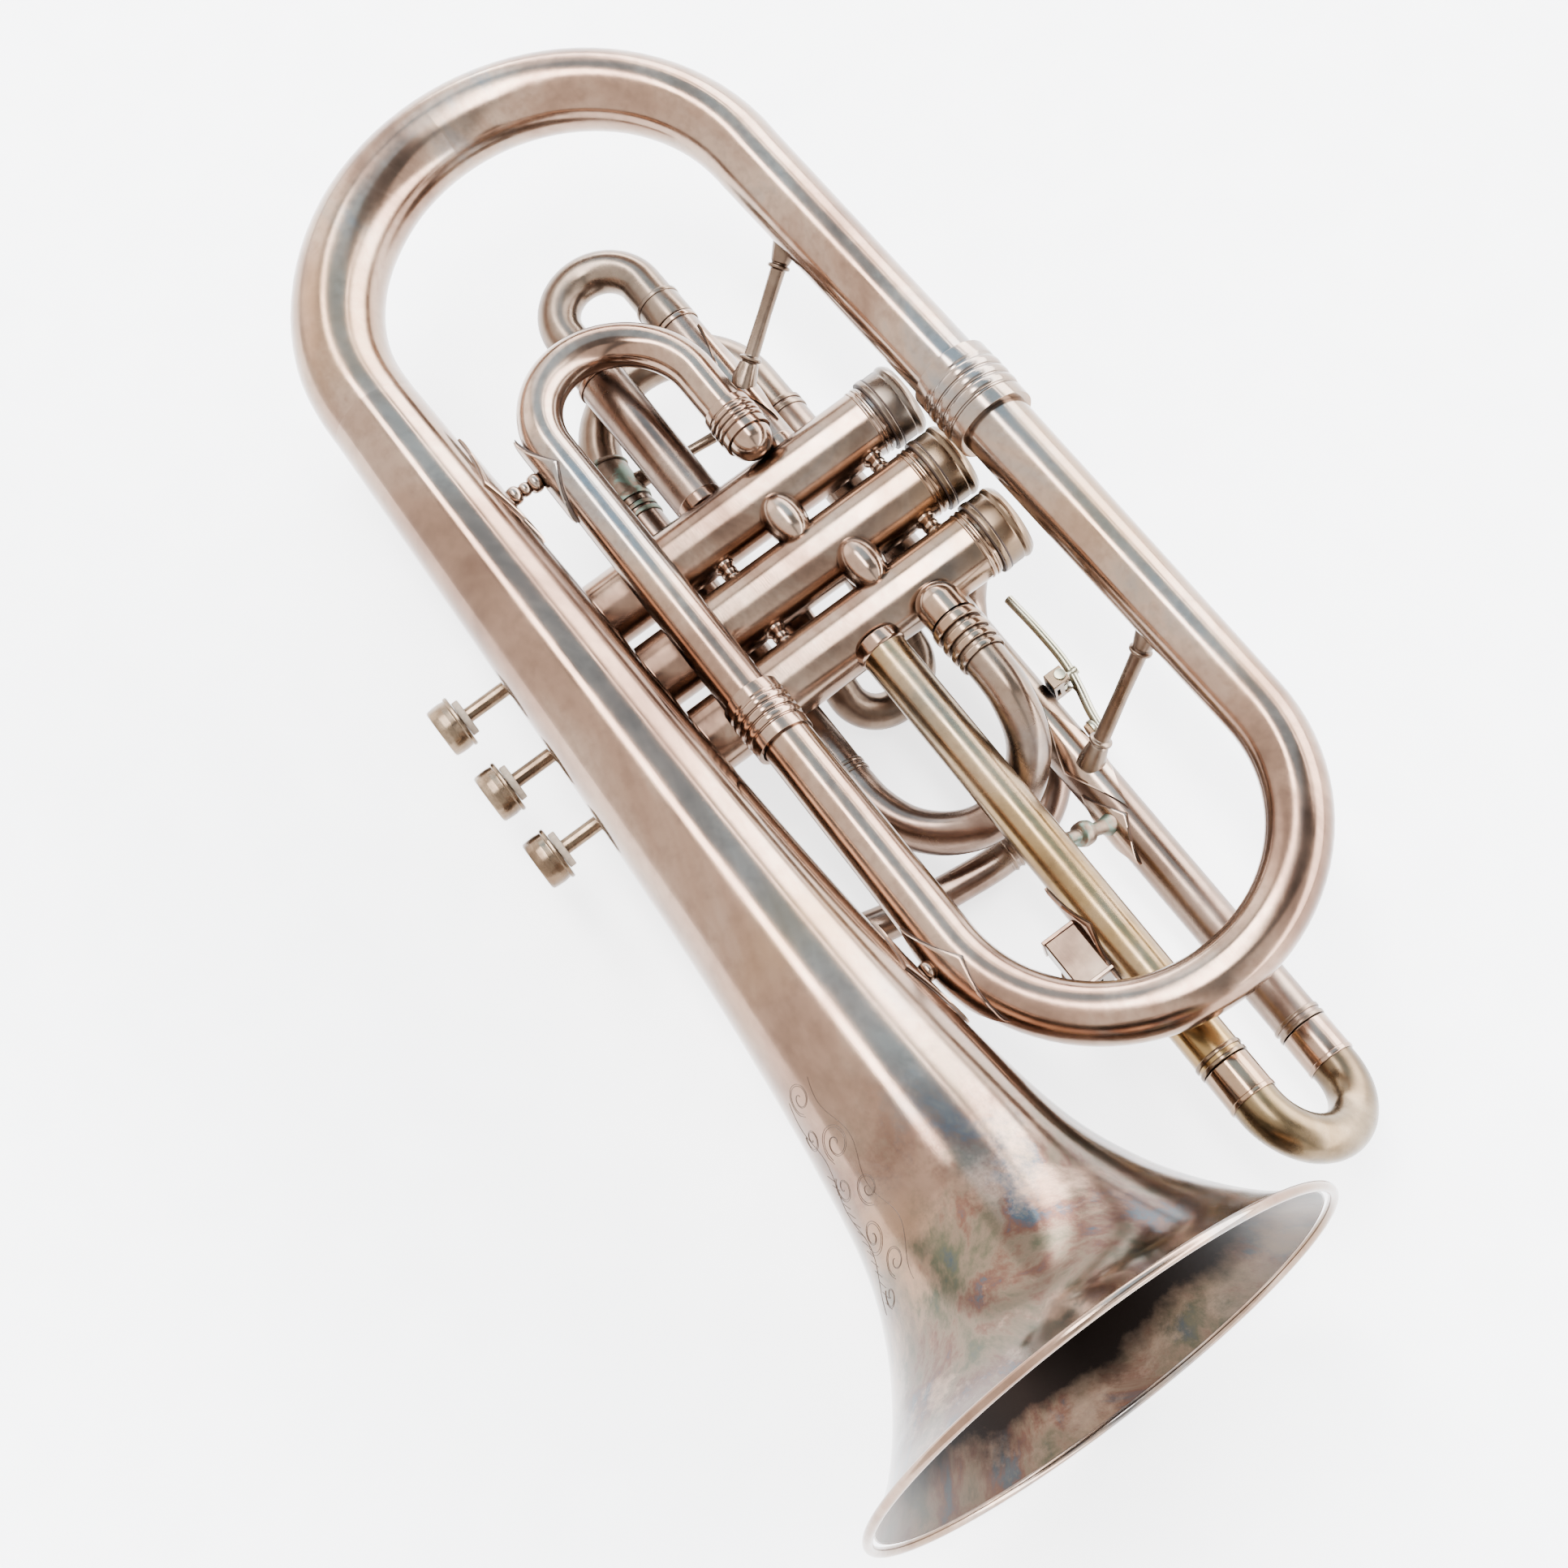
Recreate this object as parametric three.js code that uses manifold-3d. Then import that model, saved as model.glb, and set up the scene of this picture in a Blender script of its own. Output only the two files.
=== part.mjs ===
// Flugelhorn with three piston valves, four pull slides and a water key, lying on its right side.
// Millimetres. +X points out of the bell, +Y along the valves towards their bottom caps, +Z up.
// Inside the file the valve plane is z = 0 and valve 2 is at x = 0; the exported group is shifted so that
// the horn rests on z = 0 with its box centred on the origin.
import * as THREE from 'three';
import { mergeVertices } from 'three/addons/utils/BufferGeometryUtils.js';
import Module from 'manifold-3d';

const wasm = await Module();
wasm.setup();

// Driving dimensions
const GAP = 0.3; // clearance between touching pieces
const WALL = 0.7; // tube wall
const SIDES = 10; // facets round a tube
const BEND_STEP = THREE.MathUtils.degToRad(22.5);
const CUTTER_SIDES = 24;
const CUTTER_REACH = 80; // half length of the rods that cut saddles round a casing
const SADDLE_START = 6; // distance from a casing's axis at which a saddled tube starts before it is cut
const TUBE_CUTTER_X = [-160, 230]; // the same, round a tube that runs along X

const VALVE_PITCH = 24.6;
const VALVE_X = [-VALVE_PITCH, 0, VALVE_PITCH];
const CASING_R = 10;
const CASING_BORE_R = 9;
const CASING_TOP_Y = -64; // finger end of the casing
const CASING_BOTTOM_Y = 58;
const CAP_R = 11.1;
const TOP_CAP_Y = [-70, -53];
const BOTTOM_CAP_Y = [51.6, 62];
const PISTON_R = 8.7;
const PISTON_WALL = 1.2;
const PISTON_Y = [-47, 23];
const STEM_R = 2.2;
const BUTTON_R = 7.8;
const BUTTON_Y = [-98, -91];
const SPRING_Y = [23.4, 57];
const SPRING_TURNS = 6;
const KNUCKLE_R = 5.5;
const KNUCKLE_Z = 5.4;
const SPRING_R = 6.6;
const SPRING_WIRE_R = 0.55;

const BELL_Y = -60.3;
const BELL_Z = 29;
const RIM_R = 67.3;
const RIM_X = 226;
const RIM_WIRE_R = 1.5;
const BELL_WALL = 0.8;
const BELL_OUTLINE = [[-100, 13.3], [-30, 15.6], [40, 18], [100, 21.2], [145, 25.8], [175, 31],
  [192, 37.6], [206, 46], [218, 56], [225.4, 65.2]];

const MAIN_BOW_X = -102;
const BACK_TUBE = { y: [66.6, 69], z: 27 }; // the tube leans out a little along its length
const RIGHT_BOW_Y = 71.2;
const RIGHT_BOW_X = 118;
const RETURN_TUBE = { y: -26.4, z: 24 };
const SMALL_BOW_X = -62.1;
const ELBOW_1 = { x: -42, y: 18.4, z: 12, r: 6.3, dome: -36 };
const FERRULE_1_X = [-8, 12.4];
const FERRULE_2_X = [32.6, 48.8];
const FERRULE_3_X = [-47.6, -37.6];

const SLIDE_1_Y = [-2.1, 24.6];
const SLIDE_1_R = [7.2, 6.3];
const SLIDE_1_END_X = -86; // open ends of the outer legs
const SLIDE_1_BOW_X = -104;

const SLIDE_2_Y = [-1.5, 21.5];
const SLIDE_2_TILT = THREE.MathUtils.degToRad(45); // below the valve plane, towards the bell
const SLIDE_2_LEG = 30; // length of the outer legs from the casing axis
const SLIDE_2_REACH = 48.9; // casing axis to the middle of the bow

const LONG_TUBE = { y: 35, z: -17.3, r: 6.5 };
const LOWER_TUBE = { y: -16, z: -17.3, r: 6 };
const SLIDE_3_END_X = -54;
const SLIDE_3_BOW_X = -66;
const SLIDE_3_BOW_R = 6.2;

const YELLOW_LEG = { y: 10.6, z: 3.5, r: 6.5 };
const TUNING_END_X = 180.4; // open ends of the outer legs
const TUNING_BOW_X = 193;

const ELBOW_3 = { x: 42.7, y: 29.2, z: 10, r: 6.6, dome: 37.4 };
const MOUTHPIPE = { y: -58, z: -31.7, r: 5.6 };
const RETURN_R = 4.8; // the crossing narrows to this
const RECEIVER_X = [-142, -92];
const RECEIVER_R = 8;
const RECEIVER_BORE_R = [5, 4.6]; // at the mouth and at the shoulder
const CROSSING_START_X = 58;
const CROSSING_STEPS = 16; // of the bend's curve, up to its joint
const RETURN_STEPS = 26;

const LYRE_SOCKET = { x: 135.5, y: -1.6, z: 0.5 };
const LYRE_BOX = [17, 10, 9];
const LYRE_SLOT = [4.6, 5.4];
const WATER_KEY_PIVOT = { x: 65.5, y: 45.4, z: -15 };

const REST_Z = BELL_Z - RIM_R - RIM_WIRE_R; // lowest point of the bell rim
const CENTRE = new THREE.Vector3(24.37, -24.05, REST_Z);

const silver = metal('silver', 0xb5a79c, 0.32);
const yellowBrass = metal('yellow_brass', 0xb59a63, 0.35);
const darkBrass = metal('dark_brass', 0x7d6a58, 0.42);
const steel = metal('steel', 0xc9c9c6, 0.3);

const horn = new THREE.Group();
horn.position.copy(CENTRE).negate();

// Helpers

function metal(name, color, roughness) {
  return new THREE.MeshStandardMaterial({ name, color, roughness, metalness: 1 });
}

function add(name, geometry, material) {
  const mesh = new THREE.Mesh(geometry, material);
  mesh.name = name;
  horn.add(mesh);
  return mesh;
}

function v(x, y, z) {
  return new THREE.Vector3(x, y, z);
}

function welded(geometry) {
  geometry.deleteAttribute('normal');
  geometry.deleteAttribute('uv');
  return mergeVertices(geometry, 1e-4);
}

function solid(geometry) {
  const mesh = welded(geometry.clone());
  const keep = mesh.index.array;
  const triVerts = [];
  for (let i = 0; i < keep.length; i += 3) {
    const [a, b, c] = [keep[i], keep[i + 1], keep[i + 2]];
    if (a !== b && b !== c && a !== c) triVerts.push(a, b, c);
  }
  return new wasm.Manifold(new wasm.Mesh({
    numProp: 3,
    vertProperties: new Float32Array(mesh.attributes.position.array),
    triVerts: new Uint32Array(triVerts),
  }));
}

function shell(manifold) {
  const mesh = manifold.getMesh();
  const geometry = new THREE.BufferGeometry();
  geometry.setAttribute('position', new THREE.BufferAttribute(new Float32Array(mesh.vertProperties), 3));
  geometry.setIndex([...mesh.triVerts]);
  return geometry;
}

function cut(geometry, ...tools) {
  return shell(tools.reduce((body, tool) => body.subtract(solid(tool)), solid(geometry)));
}

function join(...geometries) {
  return shell(geometries.slice(1).reduce((body, g) => body.add(solid(g)), solid(geometries[0])));
}

// A piece turned about the Y axis from [radius, y] points; the outline closes on itself or on the axis.
function turned(outline, sides = 16) {
  return new THREE.LatheGeometry(outline.map(([r, y]) => new THREE.Vector2(r, y)), sides);
}

function ring(inner, outer, from, to, sides = 18) {
  return turned([[inner, from], [outer, from], [outer, to], [inner, to], [inner, from]], sides);
}

function rod(radius, from, to, sides = 16) {
  return turned([[0, from], [radius, from], [radius, to], [0, to]], sides);
}

function alongX(geometry, y, z) {
  return geometry.rotateZ(-Math.PI / 2).translate(0, y, z);
}

// Places a piece turned about +Y so that it starts at one point and aims at another.
function between(geometry, from, to) {
  const aim = new THREE.Quaternion().setFromUnitVectors(v(0, 1, 0), to.clone().sub(from).normalize());
  return geometry.applyQuaternion(aim).translate(from.x, from.y, from.z);
}

// A rod wide enough to leave a gap round a casing, for cutting saddles.
function casingCutter(x, radius = CASING_R) {
  return rod(radius + GAP, -CUTTER_REACH, CUTTER_REACH, CUTTER_SIDES).translate(x, 0, 0);
}

function tubeCutter({ y, z, r }) {
  return alongX(rod(r + GAP, ...TUBE_CUTTER_X, CUTTER_SIDES), y, z);
}

// Points along straight runs that meet in round bends of one radius.
function route(corners, radius) {
  const points = [corners[0]];
  for (let i = 1; i < corners.length - 1; i += 1) {
    const arrive = corners[i].clone().sub(corners[i - 1]).normalize();
    const leave = corners[i + 1].clone().sub(corners[i]).normalize();
    const turn = arrive.angleTo(leave);
    const start = corners[i].clone().addScaledVector(arrive, -radius * Math.tan(turn / 2));
    const inward = leave.clone().addScaledVector(arrive, -arrive.dot(leave)).normalize();
    const steps = Math.max(1, Math.round(turn / BEND_STEP));
    for (let k = 0; k <= steps; k += 1) {
      const angle = (turn * k) / steps;
      points.push(start.clone()
        .addScaledVector(arrive, radius * Math.sin(angle))
        .addScaledVector(inward, radius * (1 - Math.cos(angle))));
    }
  }
  points.push(corners[corners.length - 1]);
  return points.filter((p, i) => i === 0 || p.distanceTo(points[i - 1]) > 0.01);
}

// A U bend between two parallel legs: from one leg end, round x = bowX, to the other leg end.
function uRoute(from, to, bowX) {
  const radius = Math.hypot(to.y - from.y, to.z - from.z) / 2;
  const tipX = bowX + Math.sign(bowX - from.x) * radius;
  return route([from, v(tipX, from.y, from.z), v(tipX, to.y, to.z), to], radius * 0.9999);
}

// A hollow tube along a list of points, its outer radius given by a function of the way along, 0 to 1.
function tube(points, radiusAt, wall = WALL, sides = SIDES) {
  const lengths = points.map(() => 0);
  for (let i = 1; i < points.length; i += 1) {
    lengths[i] = lengths[i - 1] + points[i].distanceTo(points[i - 1]);
  }
  const total = lengths[lengths.length - 1];
  const outer = points.map((p, i) => [radiusAt(lengths[i] / total), i]);
  const inner = outer.map(([r, i]) => [r - wall, i]).reverse();
  const geometry = turned([...outer, ...inner, outer[0]], sides);
  const frames = sectionFrames(points);
  const position = geometry.attributes.position;
  for (let i = 0; i < position.count; i += 1) {
    const frame = frames[Math.round(position.getY(i))];
    const p = frame.origin.clone()
      .addScaledVector(frame.side, position.getX(i))
      .addScaledVector(frame.up, position.getZ(i));
    position.setXYZ(i, p.x, p.y, p.z);
  }
  return geometry;
}

// Each section's plane halves the turn between its two neighbours, and is carried along without twist.
function sectionFrames(points) {
  let side = null;
  return points.map((origin, i) => {
    const before = points[Math.max(i - 1, 0)];
    const after = points[Math.min(i + 1, points.length - 1)];
    const ahead = i < points.length - 1 ? after.clone().sub(origin).normalize() : v(0, 0, 0);
    const behind = i > 0 ? origin.clone().sub(before).normalize() : v(0, 0, 0);
    const along = ahead.add(behind).normalize();
    if (!side) side = Math.abs(along.z) < 0.9 ? v(0, 0, 1) : v(0, 1, 0);
    side = side.clone().addScaledVector(along, -side.dot(along)).normalize();
    return { origin, side, up: side.clone().cross(along) };
  });
}

function taper(from, to) {
  return (t) => from + (to - from) * t;
}

// Bell and main tubing

function bell() {
  const outline = new THREE.SplineCurve(BELL_OUTLINE.map(([x, r]) => new THREE.Vector2(x, r)));
  const outer = outline.getPoints(12).map((p) => [p.y, p.x]);
  const inner = outer.map(([r, x]) => [r - BELL_WALL, x]).reverse();
  add('bell', alongX(turned([...outer, ...inner, outer[0]], 28), BELL_Y, BELL_Z), silver);
}

function bellRim() {
  const outline = [];
  for (let k = 0; k <= 6; k += 1) {
    const angle = (k / 6) * 2 * Math.PI;
    outline.push([RIM_R + RIM_WIRE_R * Math.cos(angle), RIM_X + RIM_WIRE_R * Math.sin(angle)]);
  }
  add('bell_rim_wire', alongX(turned(outline, 28), BELL_Y, BELL_Z), silver);
}

function mainTubing() {
  const bow = uRoute(v(-100.3, BELL_Y - 1, BELL_Z), v(-100.3, BACK_TUBE.y[0], BACK_TUBE.z), MAIN_BOW_X);
  add('main_bow', tube(bow, (t) => 13.3 - 2.7 * Math.max(0, t - 0.35) / 0.65), silver);
  const back = [v(-100, BACK_TUBE.y[0], BACK_TUBE.z), v(2, BACK_TUBE.y[1], BACK_TUBE.z)];
  add('back_tube', tube(back, taper(10.6, 9.9)), silver);
  const returnEnd = v(40.8, RETURN_TUBE.y, RETURN_TUBE.z);
  const reach = (RIGHT_BOW_Y - RETURN_TUBE.y) / 2;
  const tipX = RIGHT_BOW_X + reach;
  const right = route([v(2.3, BACK_TUBE.y[1], BACK_TUBE.z), v(tipX, RIGHT_BOW_Y, BACK_TUBE.z),
    v(tipX, RETURN_TUBE.y, RETURN_TUBE.z), returnEnd], reach * 0.99);
  add('right_bow', tube(right, (t) => 9.7 - 2.6 * t), silver);
  const elbowEnd = v(ELBOW_1.x - GAP, ELBOW_1.y, ELBOW_1.z);
  const small = uRoute(v(40.5, -27.4, RETURN_TUBE.z), elbowEnd, SMALL_BOW_X);
  add('small_bow', tube(small, taper(7, 6.1)), silver);
}

// A soldered ferrule: three raised bands round the joint of two tubes.
function ferrule(name, [from, to], y, z, inner, outer) {
  const length = to - from;
  const band = length / 5;
  const outline = [[inner, from]];
  for (let k = 0; k < 5; k += 1) {
    const r = k % 2 ? outer - 0.5 : outer;
    outline.push([r, from + k * band], [r, from + (k + 1) * band]);
  }
  outline.push([inner, to], [inner, from]);
  add(name, alongX(turned(outline), y, z), silver);
}

// A tube end that closes in a dome and saddles a valve casing.
function domeElbow(name, { x, y, z, r, dome }, valveX) {
  const length = Math.abs(x - dome);
  const outline = [[0, 0], [r, 0]];
  for (let k = 0; k <= 4; k += 1) {
    const angle = (k / 4) * (Math.PI / 2);
    outline.push([r * Math.cos(angle), length + r * Math.sin(angle)]);
  }
  outline[outline.length - 1][0] = 0;
  const solidDome = between(turned(outline, 16), v(x, y, z), v(dome, y, z));
  add(name, cut(solidDome, casingCutter(valveX)), silver);
}

// Valves

function valve(n, x) {
  const casing = ring(CASING_BORE_R, CASING_R, CASING_TOP_Y, CASING_BOTTOM_Y);
  add(`valve_casing_${n}`, casing.translate(x, 0, 0), silver);
  add(`top_cap_${n}`, topCap().translate(x, 0, 0), silver);
  add(`bottom_cap_${n}`, bottomCap().translate(x, 0, 0), silver);
  add(`piston_${n}`, piston().translate(x, 0, 0), steel);
  add(`stem_button_${n}`, stemButton().translate(x, 0, 0), darkBrass);
  add(`valve_spring_${n}`, spring().translate(x, 0, 0), steel);
}

function topCap() {
  const [end, rim] = TOP_CAP_Y;
  const inner = CASING_R + GAP;
  return turned([[STEM_R + 0.5, end], [CAP_R - 2, end], [CAP_R - 0.6, end + 2], [CAP_R - 0.6, rim - 4],
    [CAP_R, rim - 4], [CAP_R, rim], [inner, rim], [inner, end + 5], [STEM_R + 0.5, end + 5],
    [STEM_R + 0.5, end]], 18);
}

function bottomCap() {
  const [rim, end] = BOTTOM_CAP_Y;
  const inner = CASING_R + GAP;
  return turned([[inner, rim], [CAP_R, rim], [CAP_R, rim + 5], [CAP_R - 0.4, rim + 6],
    [CAP_R, rim + 7], [CAP_R - 0.8, end - 0.6], [7, end], [2, end], [2, end - 1.5], [inner, end - 1.5],
    [inner, rim]], 18);
}

function piston() {
  const [top, bottom] = PISTON_Y;
  const can = turned([[0, top], [PISTON_R, top], [PISTON_R, bottom], [PISTON_R - PISTON_WALL, bottom],
    [PISTON_R - PISTON_WALL, top + 2], [0, top + 2]], 18);
  const ports = [[-16, 0], [2, 0.9], [12, -0.6]].map(([y, turn]) => rod(4.2, -20, 20, 8)
    .rotateZ(Math.PI / 2).rotateY(turn).translate(0, y, 0));
  return cut(can, ...ports);
}

function stemButton() {
  const [face, under] = BUTTON_Y;
  return turned([[0, face + 0.8], [BUTTON_R - 1.4, face + 0.8], [BUTTON_R - 1.2, face],
    [BUTTON_R - 0.6, face], [BUTTON_R - 0.3, face + 0.6], [BUTTON_R - 0.5, under - 1.3],
    [BUTTON_R, under - 1.2], [BUTTON_R, under], [STEM_R, under], [STEM_R, PISTON_Y[0] - GAP],
    [0, PISTON_Y[0] - GAP]], 16);
}

function spring() {
  const [from, to] = SPRING_Y;
  const steps = SPRING_TURNS * 8;
  const points = [];
  for (let k = 0; k <= steps; k += 1) {
    const angle = (k / 8) * 2 * Math.PI;
    const y = from + 0.6 + ((to - from - 1.2) * k) / steps;
    points.push(v(SPRING_R * Math.cos(angle), y, SPRING_R * Math.sin(angle)));
  }
  const helix = new THREE.CatmullRomCurve3(points);
  const wire = new THREE.Shape().absarc(0, 0, SPRING_WIRE_R, 0, 2 * Math.PI);
  const settings = { steps, bevelEnabled: false, curveSegments: 2, extrudePath: helix };
  return new THREE.ExtrudeGeometry(wire, settings);
}

// Short pieces that tie neighbouring casings together
function knuckle(n, x, y) {
  const bulge = new THREE.SphereGeometry(KNUCKLE_R, 12, 8).scale(1.4, 1, 1).translate(x, y, KNUCKLE_Z);
  const casings = [-1, 1].map((s) => casingCutter(x + (s * VALVE_PITCH) / 2));
  add(`knuckle_${n}`, cut(bulge, ...casings), silver);
}

function post(n, x, y) {
  const half = VALVE_PITCH / 2 - CASING_R - GAP;
  const spool = turned([[0, -half], [3.2, -half], [1.7, -0.5], [1.7, 0.5], [3.2, half], [0, half]], 8);
  add(`casing_post_${n}`, alongX(spool, y, 0).translate(x, 0, 0), silver);
}

// Slides: each is a pair of outer legs on the horn and a bow whose two inner legs run inside them.

function straight(name, y, z, r, fromX, toX, material) {
  add(name, tube([v(fromX, y, z), v(toX, y, z)], () => r), material);
}

// The same, but its first end is saddled on the casing of the valve at valveX.
function saddledLeg(name, points, r, valveX, material) {
  add(name, cut(tube(points, () => r), casingCutter(valveX)), material);
}

// One closed body: inner leg, shoulder, bow, shoulder, inner leg.
function slideBow(name, points, innerLength, bowR, legR, material) {
  const first = points[0];
  const last = points[points.length - 1];
  const back = points[0].clone().sub(points[1]).normalize();
  const path = [first.clone().addScaledVector(back, innerLength), first.clone().addScaledVector(back, 0.01),
    ...points, last.clone().addScaledVector(back, 0.01), last.clone().addScaledVector(back, innerLength)];
  const radii = path.map((p, i) => (i < 2 || i > path.length - 3 ? legR : bowR));
  const lengths = [0];
  for (let i = 1; i < path.length; i += 1) lengths.push(lengths[i - 1] + path[i].distanceTo(path[i - 1]));
  const at = (t) => radii[lengths.findIndex((l) => l / lengths[path.length - 1] >= t - 1e-9)];
  add(name, tube(path, at), material);
}

function firstSlide() {
  SLIDE_1_Y.forEach((y, k) => {
    const points = [v(VALVE_X[0] - SADDLE_START, y, 0), v(SLIDE_1_END_X, y, 0)];
    saddledLeg(`first_slide_leg_${k + 1}`, points, SLIDE_1_R[k], VALVE_X[0], silver);
  });
  const [a, b] = SLIDE_1_Y.map((y) => v(SLIDE_1_END_X - GAP, y, 0));
  slideBow('first_slide_bow', uRoute(a, b, SLIDE_1_BOW_X), 34, 6.3, 5.2, darkBrass);
}

function secondSlide() {
  const down = v(Math.sin(SLIDE_2_TILT), 0, -Math.cos(SLIDE_2_TILT));
  const radius = (SLIDE_2_Y[1] - SLIDE_2_Y[0]) / 2;
  const at = (y, reach) => down.clone().multiplyScalar(reach).add(v(0, y, 0));
  SLIDE_2_Y.forEach((y, k) => {
    const points = [at(y, SADDLE_START), at(y, SLIDE_2_LEG)];
    saddledLeg(`second_slide_leg_${k + 1}`, points, 5.6, 0, silver);
  });
  const [y1, y2] = SLIDE_2_Y;
  const start = SLIDE_2_LEG + GAP;
  const corners = [at(y1, start), at(y1, SLIDE_2_REACH), at(y2, SLIDE_2_REACH), at(y2, start)];
  slideBow('second_slide_bow', route(corners, radius * 0.9999), 14, 5.2, 4.5, yellowBrass);
}

function thirdSlide() {
  straight('long_tube', LONG_TUBE.y, LONG_TUBE.z, LONG_TUBE.r, SLIDE_3_END_X, TUNING_END_X, silver);
  const a = v(SLIDE_3_END_X - GAP, LONG_TUBE.y, LONG_TUBE.z);
  const b = v(SLIDE_3_END_X - GAP, LOWER_TUBE.y, LOWER_TUBE.z);
  slideBow('third_slide_bow', uRoute(a, b, SLIDE_3_BOW_X), 30, SLIDE_3_BOW_R, 5, darkBrass);
  const loop = new THREE.CatmullRomCurve3([v(52, LOWER_TUBE.y, LOWER_TUBE.z), v(62, -15.2, -17.3),
    v(72.5, -11.5, -17.2), v(80.8, -4.5, -16.2), v(85.8, 4.5, -14), v(86, 15.6, -10.6), v(80, 25, -1.5),
    v(69, 28.8, 7), v(54, ELBOW_3.y, ELBOW_3.z), v(ELBOW_3.x + GAP, ELBOW_3.y, ELBOW_3.z)]);
  const path = [v(SLIDE_3_END_X, LOWER_TUBE.y, LOWER_TUBE.z), ...loop.getPoints(12)];
  add('lower_tube_and_loop', tube(path, () => LOWER_TUBE.r), silver);
}

function tuningSlide() {
  const { y, z, r } = YELLOW_LEG;
  const points = [v(VALVE_X[2] + SADDLE_START, y, z), v(TUNING_END_X, y, z)];
  saddledLeg('tuning_leg', points, r, VALVE_X[2], yellowBrass);
  const a = v(TUNING_END_X + GAP, YELLOW_LEG.y, YELLOW_LEG.z);
  const b = v(TUNING_END_X + GAP, LONG_TUBE.y, LONG_TUBE.z);
  slideBow('tuning_slide_bow', uRoute(a, b, TUNING_BOW_X), 60, 6.5, 5.5, yellowBrass);
}

// Mouthpipe: receiver under the bell tail, a straight pipe, a crossing bend and a return to valve 3.
function mouthpipe() {
  const { y, z, r } = MOUTHPIPE;
  const [mouth, shoulder] = RECEIVER_X;
  const [boreMouth, boreEnd] = RECEIVER_BORE_R;
  const receiver = turned([[boreMouth, mouth], [RECEIVER_R, mouth], [RECEIVER_R, mouth + 4], [7, mouth + 6],
    [7, shoulder - 2], [6.6, shoulder], [boreEnd, shoulder], [boreMouth, mouth]]);
  add('mouthpiece_receiver', alongX(receiver, y, z), silver);
  straight('mouthpipe', y, z, r, shoulder + GAP, CROSSING_START_X, silver);
  const bend = new THREE.CatmullRomCurve3([v(CROSSING_START_X + GAP, y, z), v(66, -57.4, z),
    v(76.5, -51, z), v(82.5, -40, z), v(86.4, -26, z), v(89, -10, z), v(90.4, 5, z), v(89, 18, z),
    v(81.5, 29, z), v(68, 35.4, z), v(48, 36.2, z), v(34, 37.6, z), v(25, 42.5, z + 2.6),
    v(21.4, 46.6, z + 9.4), v(21, 47, -12)]);
  const path = bend.getPoints(CROSSING_STEPS + RETURN_STEPS);
  add('mouthpipe_crossing', tube(path.slice(0, CROSSING_STEPS + 1), taper(r, RETURN_R)), silver);
  const joint = path[CROSSING_STEPS].clone().lerp(path[CROSSING_STEPS + 1], 0.06);
  const pipe = tube([joint, ...path.slice(CROSSING_STEPS + 1)], () => RETURN_R);
  add('mouthpipe_return', cut(pipe, casingCutter(VALVE_PITCH, CAP_R)), silver);
}

// Braces: a turned rod that widens into a foot at each end, saddled on the two tubes that it ties.
function brace(name, from, to, rodR, footR, tubes, material = silver) {
  const length = from.distanceTo(to);
  const outline = [[0, 0], [footR, 0], [footR, 2], [rodR, 6], [rodR, length - 7], [footR, length - 2],
    [footR, length], [0, length]];
  add(name, cut(between(turned(outline, 10), from, to), ...tubes.map(tubeCutter)), material);
}

function ballBrace(name, from, to, balls) {
  const length = from.distanceTo(to);
  const outline = [[0, 0]];
  for (let k = 0; k < balls; k += 1) {
    const middle = ((k + 0.5) * length) / balls;
    const half = length / balls / 2;
    outline.push([1.4, middle - half * 0.99], [2.5, middle - half * 0.4], [2.5, middle + half * 0.4],
      [1.4, middle + half * 0.99]);
  }
  outline.push([0, length]);
  outline[1][1] = 0;
  outline[outline.length - 2][1] = length;
  add(name, between(turned(outline, 12), from, to), silver);
}

function braces() {
  const backTube = { y: 67.2, z: BACK_TUBE.z, r: 10.5 };
  const backTubeLow = { y: 70.2, z: BACK_TUBE.z, r: 9.1 };
  const firstLeg = { y: SLIDE_1_Y[1], z: 0, r: SLIDE_1_R[1] };
  brace('brace_back_tube_to_first_slide', v(-74, 60.6, 22.4), v(-55.4, 27.6, 4), 2.1, 3.7,
    [backTube, firstLeg]);
  brace('brace_back_tube_to_long_tube', v(82.5, 65.6, 22.2), v(90.6, 36.4, -11.8), 2.1, 3.7,
    [backTubeLow, LONG_TUBE]);
  brace('brace_slide_legs', v(107, 14.4, 0.4), v(107, 31, -13.9), 2.1, 3.1, [YELLOW_LEG, LONG_TUBE]);
  const bowLegs = [LONG_TUBE, LOWER_TUBE].map(({ y, z }) => ({ y, z, r: SLIDE_3_BOW_R }));
  brace('third_slide_brace', v(-62.6, -12, LOWER_TUBE.z), v(-57.5, 31, LONG_TUBE.z), 1.8, 3,
    bowLegs, darkBrass);
  ballBrace('bell_brace_upper', v(-56.5, -45.4, 26.7), v(-56.5, -34.6, 25.1), 3);
  ballBrace('bell_brace_lower', v(122, -36.6, 27.4), v(122, -33.5, 26), 1);
}

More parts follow.
